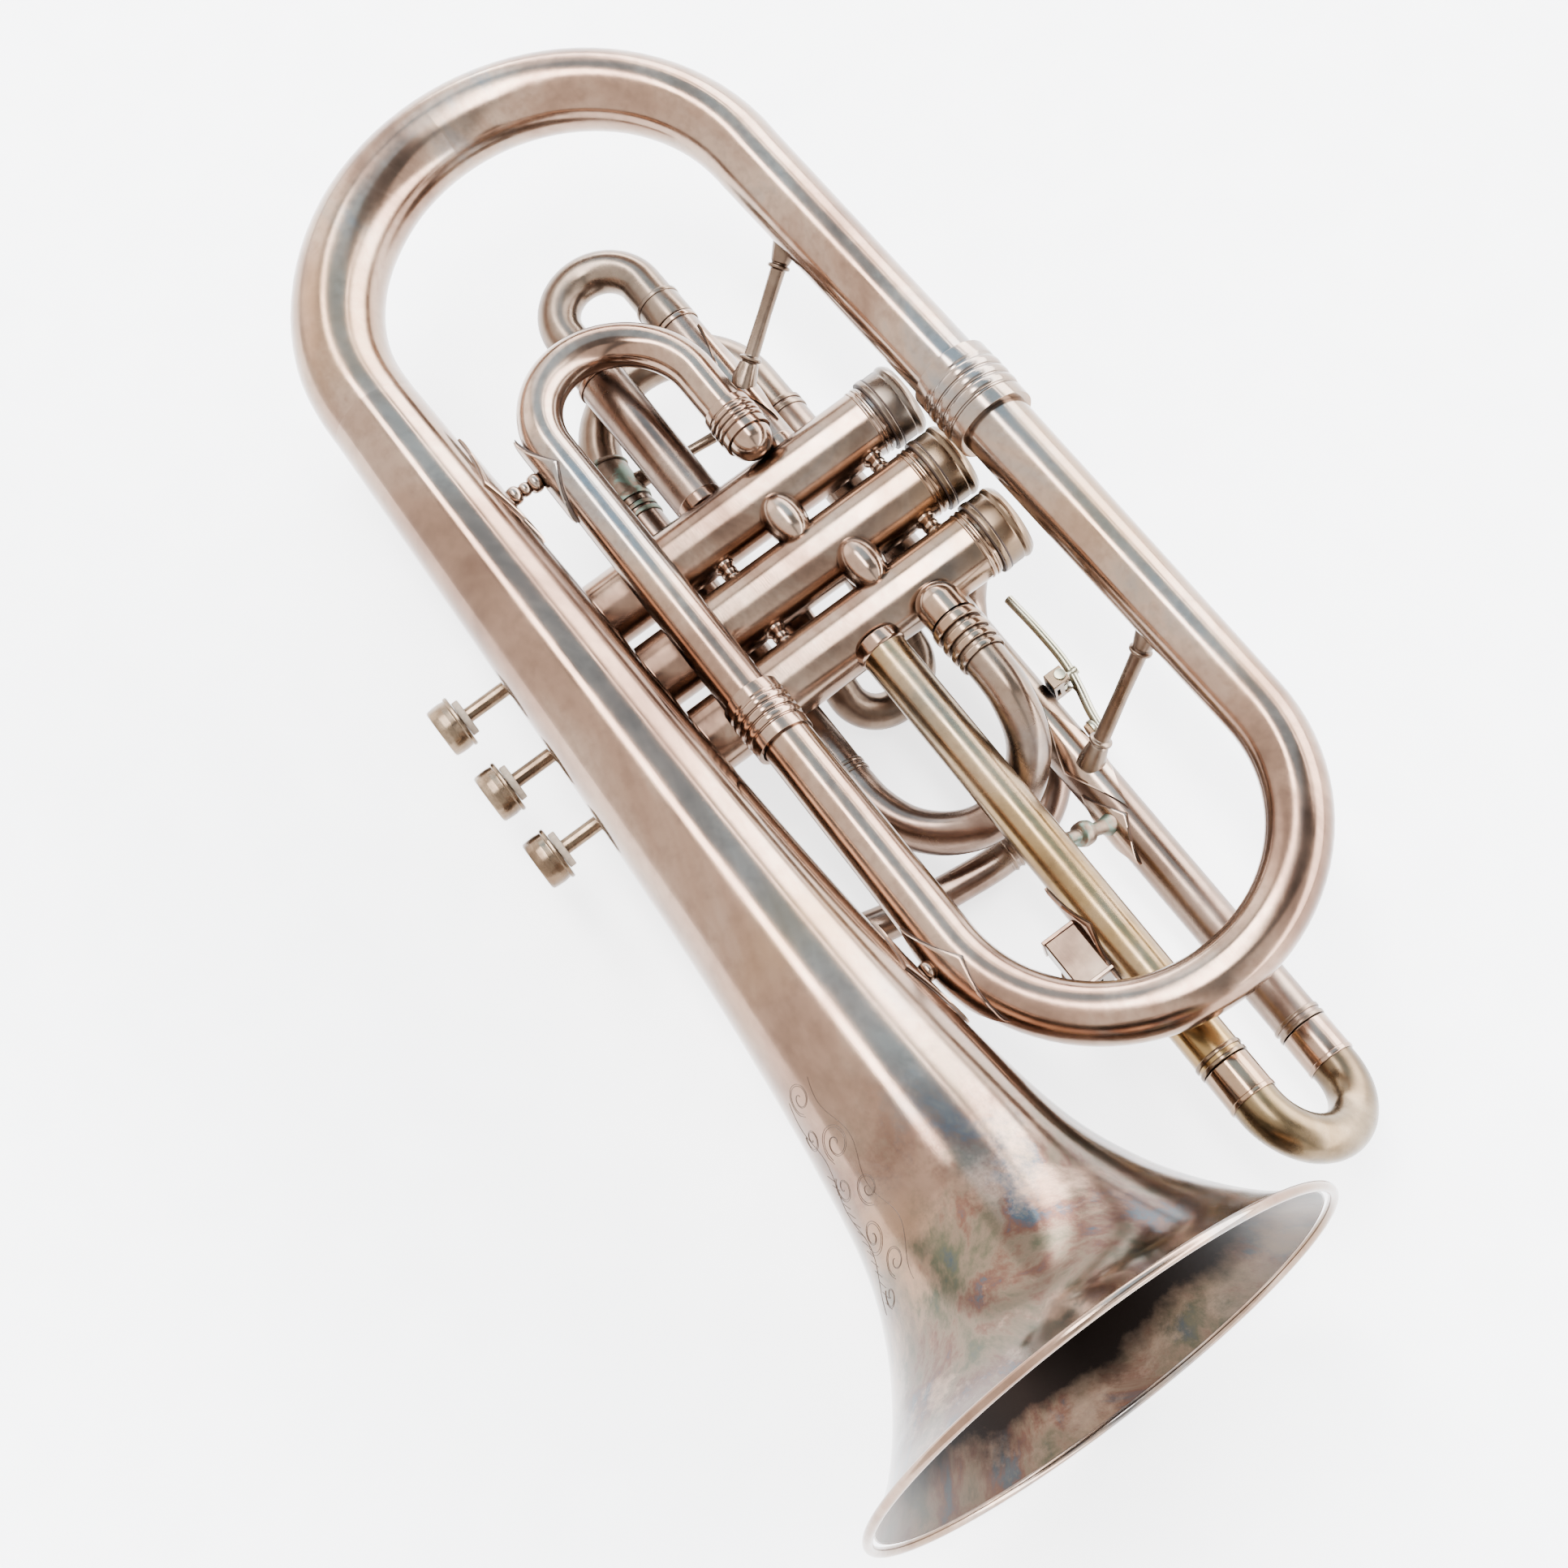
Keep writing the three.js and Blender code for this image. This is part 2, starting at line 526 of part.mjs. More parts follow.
// Lyre socket with its thumb screw, on the yellow leg
function lyreSocket() {
  const { x, y, z } = LYRE_SOCKET;
  const box = new THREE.BoxGeometry(...LYRE_BOX).translate(x, y + 0.8, z);
  const slot = new THREE.BoxGeometry(LYRE_BOX[0] * 2, ...LYRE_SLOT).translate(x, y, z);
  const screwHole = rod(1.7, -6, 6, 12).rotateX(-Math.PI / 2).translate(x, y, z - 4);
  add('lyre_socket', cut(box, slot, screwHole, tubeCutter(YELLOW_LEG)), silver);
  const screw = turned([[0, -5.6], [4.8, -5.6], [4.8, -3.4], [1.5, -3.4], [1.5, 2.6], [0, 2.6]], 14);
  add('lyre_thumb_screw', screw.rotateX(Math.PI / 2).translate(x, y, z - 5.7), darkBrass);
}

// Water key: a saddle on the long tube, a rocking lever and a pad over the drain hole
function waterKey() {
  const pivot = WATER_KEY_PIVOT;
  const saddle = new THREE.BoxGeometry(5, 3.2, 9).translate(pivot.x, 43.2, pivot.z);
  const pin = rod(1.1, -4.5, 4.5, 10).rotateX(Math.PI / 2).translate(pivot.x, pivot.y, pivot.z);
  const gap = new THREE.BoxGeometry(8, 5, 3.6).translate(pivot.x, pivot.y + 1, pivot.z);
  add('water_key_saddle', cut(join(saddle, pin), tubeCutter(LONG_TUBE), gap), darkBrass);
  const { z } = pivot;
  const lever = new THREE.CatmullRomCurve3([v(37, 49, z), v(50, 49.6, z), v(62, 49.4, z),
    v(70, 48, z), v(78, 46, z), v(84.5, 45, z)]);
  const arm = new THREE.ExtrudeGeometry(new THREE.Shape().absarc(0, 0, 1.2, 0, 2 * Math.PI),
    { steps: 8, bevelEnabled: false, curveSegments: 4, extrudePath: lever });
  const eye = new THREE.BoxGeometry(3.4, 5.4, 3).translate(pivot.x, 47.4, pivot.z);
  const pad = rod(3, 42.2, 45.6, 12).translate(82, 0, z - 1);
  const pinHole = rod(1.25, -6, 6, 12).rotateX(Math.PI / 2).translate(pivot.x, pivot.y, pivot.z);
  add('water_key_lever', cut(join(arm, eye, pad), pinHole, tubeCutter(LONG_TUBE)), steel);
}

bell();
bellRim();
mainTubing();
ferrule('ferrule_back_tube', FERRULE_1_X, BACK_TUBE.y[1], BACK_TUBE.z, 10.5, 12);
ferrule('ferrule_return_tube', FERRULE_2_X, -26.9, RETURN_TUBE.z, 7.8, 8.7);
ferrule('ferrule_small_bow', FERRULE_3_X, ELBOW_1.y, ELBOW_1.z, 6.5, 7.4);
domeElbow('dome_elbow_valve_1', ELBOW_1, VALVE_X[0]);
domeElbow('dome_elbow_valve_3', ELBOW_3, VALVE_X[2]);
VALVE_X.forEach((x, k) => valve(k + 1, x));
knuckle(1, -VALVE_PITCH / 2, 12.5);
knuckle(2, VALVE_PITCH / 2, 21);
[[-1, 43], [1, 43], [-1, -8], [1, -8]].forEach(([s, y], k) => post(k + 1, (s * VALVE_PITCH) / 2, y));
firstSlide();
secondSlide();
thirdSlide();
tuningSlide();
mouthpipe();
braces();
lyreSocket();
waterKey();

export default horn;
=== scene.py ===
"""Looks of a tarnished, silver-plated flugelhorn that lies on its side: tubing, bell, valves, slides and studio."""

import math

import bpy
from mathutils import Matrix, Vector

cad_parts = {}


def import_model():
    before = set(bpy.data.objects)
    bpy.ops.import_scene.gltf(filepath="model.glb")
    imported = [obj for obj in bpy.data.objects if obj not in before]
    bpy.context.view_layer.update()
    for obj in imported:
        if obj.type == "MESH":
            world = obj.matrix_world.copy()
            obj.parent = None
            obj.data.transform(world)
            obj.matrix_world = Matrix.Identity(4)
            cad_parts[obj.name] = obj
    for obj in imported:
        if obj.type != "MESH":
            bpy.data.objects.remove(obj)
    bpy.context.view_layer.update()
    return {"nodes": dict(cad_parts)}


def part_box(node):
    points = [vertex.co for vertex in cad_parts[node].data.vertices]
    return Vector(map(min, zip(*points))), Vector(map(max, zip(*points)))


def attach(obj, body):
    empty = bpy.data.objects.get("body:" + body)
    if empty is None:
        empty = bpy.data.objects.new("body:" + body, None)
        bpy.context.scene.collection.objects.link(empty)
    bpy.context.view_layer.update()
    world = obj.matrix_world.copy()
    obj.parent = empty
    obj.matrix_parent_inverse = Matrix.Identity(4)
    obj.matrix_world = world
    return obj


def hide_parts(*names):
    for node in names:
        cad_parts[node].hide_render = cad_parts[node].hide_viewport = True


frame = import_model()

# The horn's own frame, in millimetres: valve 2's axis is x = 0, z = 0, and +Y runs towards the bottom caps.
MM = 0.001
CASING_TOP_Y = -64
low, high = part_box("valve_casing_2")
ORIGIN = Vector(((low.x + high.x) / 2, low.y - CASING_TOP_Y * MM, (low.z + high.z) / 2))

BEND_STEP = math.radians(4)
TUBE_SIDES = 40
TURN_SIDES = 72
WALL = 0.7
SHARP = math.radians(38)

PITCH = 24.6
CASING_R = 10
CAP_R = 11.1
BELL_Y, BELL_Z = -60.3, 29
BELL_OUTLINE = [(-100, 13.3), (-30, 15.6), (40, 18), (100, 21.2), (145, 25.8), (175, 31), (192, 37.6), (206, 46),
                (218, 56), (225.4, 65.2)]
PROFILE_STEPS = 14
RIM_X, RIM_R, RIM_WIRE_R = 226, 67.3, 1.5
BACK_START_Y, BACK_END_Y, BACK_Z = 66.6, 69, 27
RIGHT_BOW_Y, RIGHT_BOW_X = 71.2, 118
RETURN_Y, RETURN_Z = -26.4, 24
LONG = Vector((0, 35, -17.3))
LOWER = Vector((0, -16, -17.3))
TUNING = Vector((0, 10.6, 3.5))
TUNING_END_X = 180.4
SLIDE_1_END_X = -86
SLIDE_3_END_X = -54
FIRST_LEG_2 = Vector((0, 24.6, 0))
ALONG_X = Vector((1, 0, 0))
LONG_R, LOWER_R = 6.5, 6
SLIDE_GAP = 0.3
ELBOW_1 = Vector((-42, 18.4, 12))
ELBOW_3 = Vector((42.7, 29.2, 10))
PIPE = Vector((0, -58, -31.7))
PIPE_R, RETURN_R = 5.6, 4.8


# Materials

class Nodes:
    """A short way to write a node tree."""

    def __init__(self, tree):
        self.tree = tree

    def add(self, kind, inputs=None, **settings):
        node = self.tree.nodes.new(kind)
        for key, value in settings.items():
            setattr(node, key, value)
        for key, value in (inputs or {}).items():
            if isinstance(value, bpy.types.NodeSocket):
                self.tree.links.new(value, node.inputs[key])
            else:
                node.inputs[key].default_value = value
        return node

    def noise(self, vector, scale, detail=4, roughness=0.55, distortion=0.0):
        node = self.add("ShaderNodeTexNoise", {"Vector": vector, "Scale": scale, "Detail": detail,
                                               "Roughness": roughness, "Distortion": distortion})
        return node.outputs["Fac"]

    def ramp(self, factor, stops):
        node = self.add("ShaderNodeValToRGB", {"Fac": factor})
        elements = node.color_ramp.elements
        while len(elements) < len(stops):
            elements.new(0.5)
        for element, (position, colour) in zip(elements, stops):
            element.position = position
            element.color = (*colour, 1) if isinstance(colour, tuple) else (colour, colour, colour, 1)
        return node.outputs["Color"]

    def mix(self, factor, a, b, blend="MIX"):
        node = self.add("ShaderNodeMix", data_type="RGBA", blend_type=blend)
        for socket, value in ((0, factor), (6, a), (7, b)):
            if isinstance(value, bpy.types.NodeSocket):
                self.tree.links.new(value, node.inputs[socket])
            else:
                node.inputs[socket].default_value = (*value, 1) if isinstance(value, tuple) else value
        return node.outputs[2]

    def math(self, operation, *values):
        return self.add("ShaderNodeMath", dict(enumerate(values)), operation=operation).outputs[0]

    def along(self, x, start, end, before, after):
        """Fades from one value to another between two places along the horn, in millimetres."""
        ends = {"Value": x, 1: ORIGIN.x + start * MM, 2: ORIGIN.x + end * MM, 3: before, 4: after}
        return self.add("ShaderNodeMapRange", ends).outputs[0]

    def scaled(self, vector, scale):
        return self.add("ShaderNodeMapping", {"Vector": vector, "Scale": scale}).outputs[0]


def material(name):
    made = bpy.data.materials.new(name)
    made.use_nodes = True
    made.node_tree.nodes.clear()
    nodes = Nodes(made.node_tree)
    position = nodes.add("ShaderNodeTexCoord").outputs["Object"]
    return made, nodes, position


def finish(nodes, **inputs):
    shader = nodes.add("ShaderNodeBsdfPrincipled", {key.replace("_", " "): value for key, value in inputs.items()})
    nodes.add("ShaderNodeOutputMaterial", {"Surface": shader.outputs[0]})


# Near-black brown for hollows and joins: partly tarnish, partly painted shade.
HOLLOW_TARNISH_AND_SHADE = (0.035, 0.018, 0.013)
HOLLOW_TARNISH_AND_SHADE_REACH = 0.0028
TONE_STEPS = (0.28, 0.43, 0.56, 0.72)


def plated(name, tones, roughness=(0.12, 0.25), patch=22, hollow_tarnish_and_shade=0.6, extra=None):
    """Old plate: cloudy tones, fine mottling, handling scratches, and near-black tarnish with painted shade in
    hollows and where pieces meet.
    """
    made, nodes, position = material(name)
    clouds = nodes.noise(nodes.scaled(position, (0.6, 1, 1)), patch, 5, 0.6, 0.6)
    colour = nodes.ramp(clouds, list(zip(TONE_STEPS, tones)))
    mottle = nodes.noise(position, patch * 14, 3)
    colour = nodes.mix(nodes.ramp(mottle, [(0.45, 0.0), (0.75, 0.32)]), colour, tones[0])
    golden = nodes.ramp(nodes.noise(position, 11, 3, 0.5), [(0.52, 0.0), (0.66, 0.6)])
    colour = nodes.mix(golden, colour, tuple(c * k for c, k in zip(tones[1], (1.0, 0.95, 0.7))))
    if extra:
        colour = extra(nodes, position, colour)
    # Ambient occlusion darkens the colour in hollows and where pieces meet: partly tarnish, partly painted shade.
    hollow = nodes.add("ShaderNodeAmbientOcclusion", {"Distance": HOLLOW_TARNISH_AND_SHADE_REACH}, samples=8).outputs["AO"]
    shade = nodes.ramp(hollow, [(0.35, hollow_tarnish_and_shade), (0.8, 0.0)])
    colour = nodes.mix(shade, colour, HOLLOW_TARNISH_AND_SHADE)
    smudge = nodes.noise(position, patch * 2.3, 4, 0.6)
    low_r, high_r = roughness
    rough = nodes.ramp(smudge, [(0.3, low_r), (0.7, high_r)])
    scratches = nodes.noise(nodes.scaled(position, (60, 900, 900)), 3, 2)
    dents = nodes.noise(position, 45, 2)
    height = nodes.math("ADD", nodes.math("MULTIPLY", scratches, 0.06), dents)
    bump = nodes.add("ShaderNodeBump", {"Height": height, "Strength": 0.12, "Distance": 0.0005}).outputs[0]
    finish(nodes, Base_Color=colour, Metallic=1.0, Roughness=rough, Normal=bump)
    return made


RAINBOW = [(0.30, (0.012, 0.024, 0.034)), (0.40, (0.036, 0.038, 0.024)), (0.48, (0.085, 0.062, 0.044)),
           (0.54, (0.06, 0.028, 0.02)), (0.60, (0.02, 0.034, 0.046)), (0.70, (0.10, 0.078, 0.05))]
OUTER_TARNISH_X, INNER_TARNISH_X = (128, 188), (150, 190)
# The near-black colour down the bell's throat is painted shade on its inner face.
DEEP_BELL_SHADE = (0.0035, 0.0024, 0.002)
DEEP_BELL_SHADE_END_X = 222.5, 229.5
DEEP_BELL_SHADE_WOBBLE = 17
INSIDE_DIMMED = (0.55, 0.5, 0.46)


def rainbow_patches(nodes, position, colour, start, full, most):
    """Blotches of blue, olive, red and pink tarnish that thicken between two places along the bell."""
    x = nodes.add("ShaderNodeSeparateXYZ", {"Vector": position}).outputs["X"]
    near_rim = nodes.along(x, start, full, 0.0, 1.0)
    blotch = nodes.noise(position, 30, 8, 0.7, 0.3)
    tones = nodes.ramp(nodes.noise(nodes.scaled(position, (0.8, 1, 1)), 33, 9, 0.68, 0.4), RAINBOW)
    amount = nodes.math("MULTIPLY", near_rim, nodes.ramp(blotch, [(0.38, 0.15), (0.5, most)]))
    return nodes.mix(amount, colour, tones)


def bell_tarnish(nodes, position, colour):
    return rainbow_patches(nodes, position, colour, *OUTER_TARNISH_X, 0.95)


def inner_tarnish_and_throat_shade(nodes, position, colour):
    """Inside of the bell: rainbow patches near the rim, and painted shade, near black, down the throat."""
    colour = rainbow_patches(nodes, position, colour, *INNER_TARNISH_X, 0.9)
    colour = nodes.mix(1.0, colour, INSIDE_DIMMED, "MULTIPLY")
    # Painted shade: near black from a wobbly line close to the rim on down the throat.
    x = nodes.add("ShaderNodeSeparateXYZ", {"Vector": position}).outputs["X"]
    wobble = nodes.math("MULTIPLY", nodes.noise(position, 42, 6, 0.66), DEEP_BELL_SHADE_WOBBLE * MM)
    reach = nodes.along(nodes.math("ADD", x, wobble), *DEEP_BELL_SHADE_END_X, 1.0, 0.0)
    return nodes.mix(reach, colour, DEEP_BELL_SHADE)


def verdigris_patches(nodes, position, colour):
    amount = nodes.ramp(nodes.noise(position, 160, 5, 0.7, 1.0), [(0.46, 0.0), (0.56, 0.9)])
    return nodes.mix(amount, colour, (0.10, 0.14, 0.11))


SILVER_TONES = [(0.10, 0.058, 0.041), (0.20, 0.123, 0.086), (0.28, 0.196, 0.146), (0.15, 0.165, 0.172)]
DULL_TONES = [(0.07, 0.042, 0.031), (0.135, 0.088, 0.066), (0.20, 0.144, 0.112), (0.11, 0.115, 0.12)]
BROWN_TONES = [(0.055, 0.034, 0.024), (0.11, 0.074, 0.053), (0.17, 0.122, 0.09), (0.095, 0.08, 0.068)]
YELLOW_TONES = [(0.095, 0.058, 0.03), (0.19, 0.122, 0.055), (0.23, 0.16, 0.095), (0.13, 0.108, 0.08)]
GOLD_TONES = [(0.055, 0.036, 0.022), (0.105, 0.072, 0.042), (0.17, 0.125, 0.08), (0.085, 0.085, 0.08)]
BUTTON_TONES = [(0.06, 0.038, 0.024), (0.125, 0.082, 0.052), (0.19, 0.135, 0.09), (0.10, 0.08, 0.065)]
STEEL_TONES = [(0.14, 0.13, 0.11), (0.23, 0.22, 0.185), (0.30, 0.29, 0.25), (0.20, 0.20, 0.185)]

SILVER = plated("silver_plate", SILVER_TONES)
DULL = plated("dull_silver_plate", DULL_TONES, (0.2, 0.34), 26)
BELL_SILVER = plated("bell_plate", SILVER_TONES, (0.09, 0.2), 15, 0.6, bell_tarnish)
BELL_INSIDE = plated("bell_inside", BROWN_TONES, (0.28, 0.42), 15, 0.0, inner_tarnish_and_throat_shade)
BROWN = plated("brown_tarnish", BROWN_TONES, (0.2, 0.36))
YELLOW = plated("yellow_brass", YELLOW_TONES, (0.17, 0.32), 26)
GOLD = plated("dark_gold_tarnish", GOLD_TONES, (0.2, 0.36), 30)
BUTTON = plated("button_brass", BUTTON_TONES, (0.16, 0.32), 60)
STEEL = plated("nickel", STEEL_TONES, (0.18, 0.32), 40)
CORRODED = plated("corroded_ferrule", BROWN_TONES, (0.35, 0.6), 60, 0.9, verdigris_patches)


def plain(name, colour, roughness, metallic=0.0, grain=900):
    made, nodes, position = material(name)
    speckle = nodes.noise(position, grain, 3)
    shade = nodes.ramp(speckle, [(0.3, tuple(c * 0.7 for c in colour)), (0.7, colour)])
    bump = nodes.add("ShaderNodeBump", {"Height": speckle, "Strength": 0.3, "Distance": 0.0002}).outputs[0]
    finish(nodes, Base_Color=shade, Metallic=metallic, Roughness=roughness, Normal=bump)
    return made


FELT = plain("felt", (0.45, 0.36, 0.28), 0.95)
CORK = plain("cork", (0.42, 0.26, 0.14), 0.9)
PEARL = plain("pearl", (0.82, 0.80, 0.76), 0.25, 0.0, 120)
ENGRAVED = plain("engraved_line", (0.085, 0.058, 0.045), 0.45, 1.0)
DARK_LINE = plain("dark_joint", (0.04, 0.024, 0.018), 0.5, 0.6)


# Shapes

def at(x, y, z):
    return Vector((x, y, z))


def piece(name, mesh, body, look, slot, *nodes):
    """Makes an object from (points in horn millimetres, faces) that rides on a body and stands for CAD nodes."""
    points, faces = mesh
    data = bpy.data.meshes.new(name)
    data.from_pydata([tuple(ORIGIN + p * MM) for p in points], [], faces)
    data.validate()
    data.update()
    data.shade_smooth()
    data.set_sharp_from_angle(angle=SHARP)
    data.materials.append(look)
    made = bpy.data.objects.new(name, data)
    bpy.context.scene.collection.objects.link(made)
    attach(made, body)
    if nodes:
        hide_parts(*nodes)
    return made


def plate(name, mesh, look, *nodes):
    """A fixed piece of the horn in the look given."""
    return piece(name, mesh, "horn", look, "silver_plate", *nodes)


def merged(*meshes):
    points, faces = [], []
    for more, their_faces in meshes:
        start = len(points)
        points += more
        faces += [tuple(i + start for i in face) for face in their_faces]
    return points, faces


def rounded(outline, radius):
    """The outline with each inner corner replaced by a short arc-like curve."""
    steps = 3
    out = [outline[0]]
    for before, corner, after in zip(outline, outline[1:], outline[2:]):
        before, corner, after = Vector(before), Vector(corner), Vector(after)
        arrive, leave = corner - before, after - corner
        if arrive.length < 1e-6 or leave.length < 1e-6:
            continue
        back = min(radius, arrive.length * 0.45)
        on = min(radius, leave.length * 0.45)
        a, b = corner - arrive.normalized() * back, corner + leave.normalized() * on
        for k in range(steps + 1):
            t = k / steps
            out.append(tuple(a * (1 - t) ** 2 + corner * 2 * t * (1 - t) + b * t * t))
    return out + [outline[-1]]


def turned(outline, start, end, sides=TURN_SIDES, bevel=0.3, ridges=None):
    """Turns (radius, distance) points round the line from start towards end. ridges lowers every other column."""
    outline = rounded(outline, bevel) if bevel else outline
    axis = (end - start).normalized()
    side = axis.orthogonal().normalized()
    up = axis.cross(side)
    closed = (Vector(outline[0]) - Vector(outline[-1])).length < 1e-6
    rows = outline[:-1] if closed else outline
    points, index = [], []
    for radius, along in rows:
        if radius < 1e-6:
            index.append([len(points)] * sides)
            points.append(start + axis * along)
            continue
        index.append([len(points) + k for k in range(sides)])
        for k in range(sides):
            r = radius
            if ridges and ridges[0] <= along <= ridges[1] and k % 2:
                r -= ridges[2]
            angle = 2 * math.pi * k / sides
            points.append(start + axis * along + (side * math.cos(angle) + up * math.sin(angle)) * r)
    faces = []
    count = len(rows)
    for i in range(count if closed else count - 1):
        for k in range(sides):
            a, b = index[i][k], index[i][(k + 1) % sides]
            c, d = index[(i + 1) % count][(k + 1) % sides], index[(i + 1) % count][k]
            face = tuple(dict.fromkeys((a, d, c, b)))
            if len(face) > 2:
                faces.append(face)
    return points, faces


def frames(points):
    """A section plane at each point that halves the turn there, carried along without twist."""
    side = None
    out = []
    for i, origin in enumerate(points):
        ahead = (points[i + 1] - origin).normalized() if i < len(points) - 1 else Vector()
        behind = (origin - points[i - 1]).normalized() if i else Vector()
        along = (ahead + behind).normalized()
        if side is None:
            side = Vector((0, 0, 1)) if abs(along.z) < 0.9 else Vector((0, 1, 0))
        side = (side - along * side.dot(along)).normalized()
        out.append((origin, side, side.cross(along)))
    return out


def lengths(points):
    total = [0.0]
    for a, b in zip(points, points[1:]):
        total.append(total[-1] + (b - a).length)
    return total


def ringed(points, loop):
    """Circles of (point number, radius) joined in turn, and the last one to the first."""
    sides = TUBE_SIDES
    sections = frames(points)
    verts, faces = [], []
    for i, radius in loop:
        origin, side, up = sections[i]
        for k in range(sides):
            angle = 2 * math.pi * k / sides
            verts.append(origin + (side * math.cos(angle) + up * math.sin(angle)) * radius)
    for j in range(len(loop)):
        following = (j + 1) % len(loop)
        for k in range(sides):
            n = (k + 1) % sides
            faces.append((j * sides + k, following * sides + k, following * sides + n, j * sides + n))
    return verts, faces


def tube(points, radius_at):
    """A hollow tube along points with a rounded lip at each end; radius_at takes the way along, 0 to 1."""
    along = lengths(points)
    lip = WALL * 0.3
    rows = [(i, radius_at(s / along[-1])) for i, s in enumerate(along)]
    first, last = rows[0], rows[-1]
    loop = [(first[0], first[1] - lip)] + rows + [(last[0], last[1] - lip)]
    loop += [(last[0], last[1] - WALL)] + [(i, r - WALL) for i, r in reversed(rows[1:-1])] + [(0, first[1] - WALL)]
    return ringed(points, loop)


def capped(rings, sides):
    """Faces that join rings of points in turn and close both ends."""
    faces = []
    for i in range(rings - 1):
        for k in range(sides):
            n = (k + 1) % sides
            faces.append((i * sides + k, (i + 1) * sides + k, (i + 1) * sides + n, i * sides + n))
    faces.append(tuple(range(sides)))
    faces.append(tuple(reversed(range((rings - 1) * sides, rings * sides))))
    return faces


def rod_along(points, radius, sides=10):
    """A solid round wire along points."""
    verts = []
    for origin, side, up in frames(points):
        for k in range(sides):
            angle = 2 * math.pi * k / sides
            verts.append(origin + (side * math.cos(angle) + up * math.sin(angle)) * radius)
    return verts, capped(len(points), sides)


def flat_bar(points, half_widths, half_height):
    """A bar with an oval section: half_widths across Z and half_height across the path."""
    sides = 16
    verts = []
    for (origin, side, up), wide in zip(frames(points), half_widths):
        for k in range(sides):
            angle = 2 * math.pi * k / sides
            verts.append(origin + side * math.cos(angle) * wide + up * math.sin(angle) * half_height)
    return verts, capped(len(points), sides)


def route(corners, radius):
    """Straight runs that meet in round bends of one radius."""
    points = [corners[0]]
    for before, corner, after in zip(corners, corners[1:], corners[2:]):
        arrive = (corner - before).normalized()
        leave = (after - corner).normalized()
        turn = arrive.angle(leave)
        start = corner - arrive * radius * math.tan(turn / 2)
        inward = (leave - arrive * arrive.dot(leave)).normalized()
        steps = max(1, round(turn / BEND_STEP))
        for k in range(steps + 1):
            angle = turn * k / steps
            points.append(start + arrive * radius * math.sin(angle) + inward * radius * (1 - math.cos(angle)))
    points.append(corners[-1])
    kept = [points[0]]
    for p in points[1:]:
        if (p - kept[-1]).length > 0.01:
            kept.append(p)
    return kept


def u_route(start, end, bow_x):
    radius = math.hypot(end.y - start.y, end.z - start.z) / 2
    tip = bow_x + math.copysign(radius, bow_x - start.x)
    return route([start, at(tip, start.y, start.z), at(tip, end.y, end.z), end], radius * 0.9999)


def curve(controls, steps):
    """A centripetal Catmull-Rom curve through the controls."""
    points = [controls[0] * 2 - controls[1]] + controls + [controls[-1] * 2 - controls[-2]]
    out = []
    for p0, p1, p2, p3 in zip(points, points[1:], points[2:], points[3:]):
        t1 = (p1 - p0).length ** 0.5
        t2 = t1 + (p2 - p1).length ** 0.5
        t3 = t2 + (p3 - p2).length ** 0.5
        for k in range(steps):
            t = t1 + (t2 - t1) * k / steps
            a1 = p0 * ((t1 - t) / t1) + p1 * (t / t1)
            a2 = p1 * ((t2 - t) / (t2 - t1)) + p2 * ((t - t1) / (t2 - t1))
            a3 = p2 * ((t3 - t) / (t3 - t2)) + p3 * ((t - t2) / (t3 - t2))
            b1 = a1 * ((t2 - t) / t2) + a2 * (t / t2)
            b2 = a2 * ((t3 - t) / (t3 - t1)) + a3 * ((t - t1) / (t3 - t1))
            out.append(b1 * ((t2 - t) / (t2 - t1)) + b2 * ((t - t1) / (t2 - t1)))
    return out + [controls[-1]]


def refined(start, end, step=6):
    count = max(2, round((end - start).length / step))
    return [start.lerp(end, k / count) for k in range(count + 1)]


def part_way(points, along, s):
    """The number of the point that ends the stretch at distance s, and the place itself."""
    i = max(1, next((k for k, v in enumerate(along) if v >= s), len(along) - 1))
    share = (s - along[i - 1]) / (along[i] - along[i - 1])
    return i, points[i - 1].lerp(points[i], share)


def band(points, radius, start, end, stand):
    """A ring that stands off a tube between two distances along it."""
    sunk = 0.3
    along = lengths(points)
    between_ends = [p for p, s in zip(points, along) if s - start > 0.2 and end - s > 0.2]
    path = [part_way(points, along, start)[1], *between_ends, part_way(points, along, end)[1]]
    if len(path) == 2:
        path = [path[0], path[0].lerp(path[1], 0.5), path[1]]
    return turned_path(path, radius + stand, radius - sunk)


def turned_path(path, outer, inner):
    """A band with a half-round outside along a short path."""
    total = lengths(path)
    bulge = min(0.35, total[-1] / 3)
    loop = []
    for i, s in enumerate(total):
        edge = min(s, total[-1] - s)
        drop = bulge * (1 - math.sqrt(max(0.0, 1 - (1 - min(edge / bulge, 1)) ** 2))) if bulge else 0
        loop.append((i, outer - drop))
    loop += [(i, inner) for i in reversed(range(len(path)))]
    return ringed(path, loop)


def ring_x(x0, x1, centre, inner, outer, bevel=0.3):
    """A ring round a line that runs along X."""
    outline = [(inner, 0), (outer, 0), (outer, x1 - x0), (inner, x1 - x0), (inner, 0)]
    start = at(x0, centre.y, centre.z)
    return turned(outline, start, start + ALONG_X, bevel=bevel)


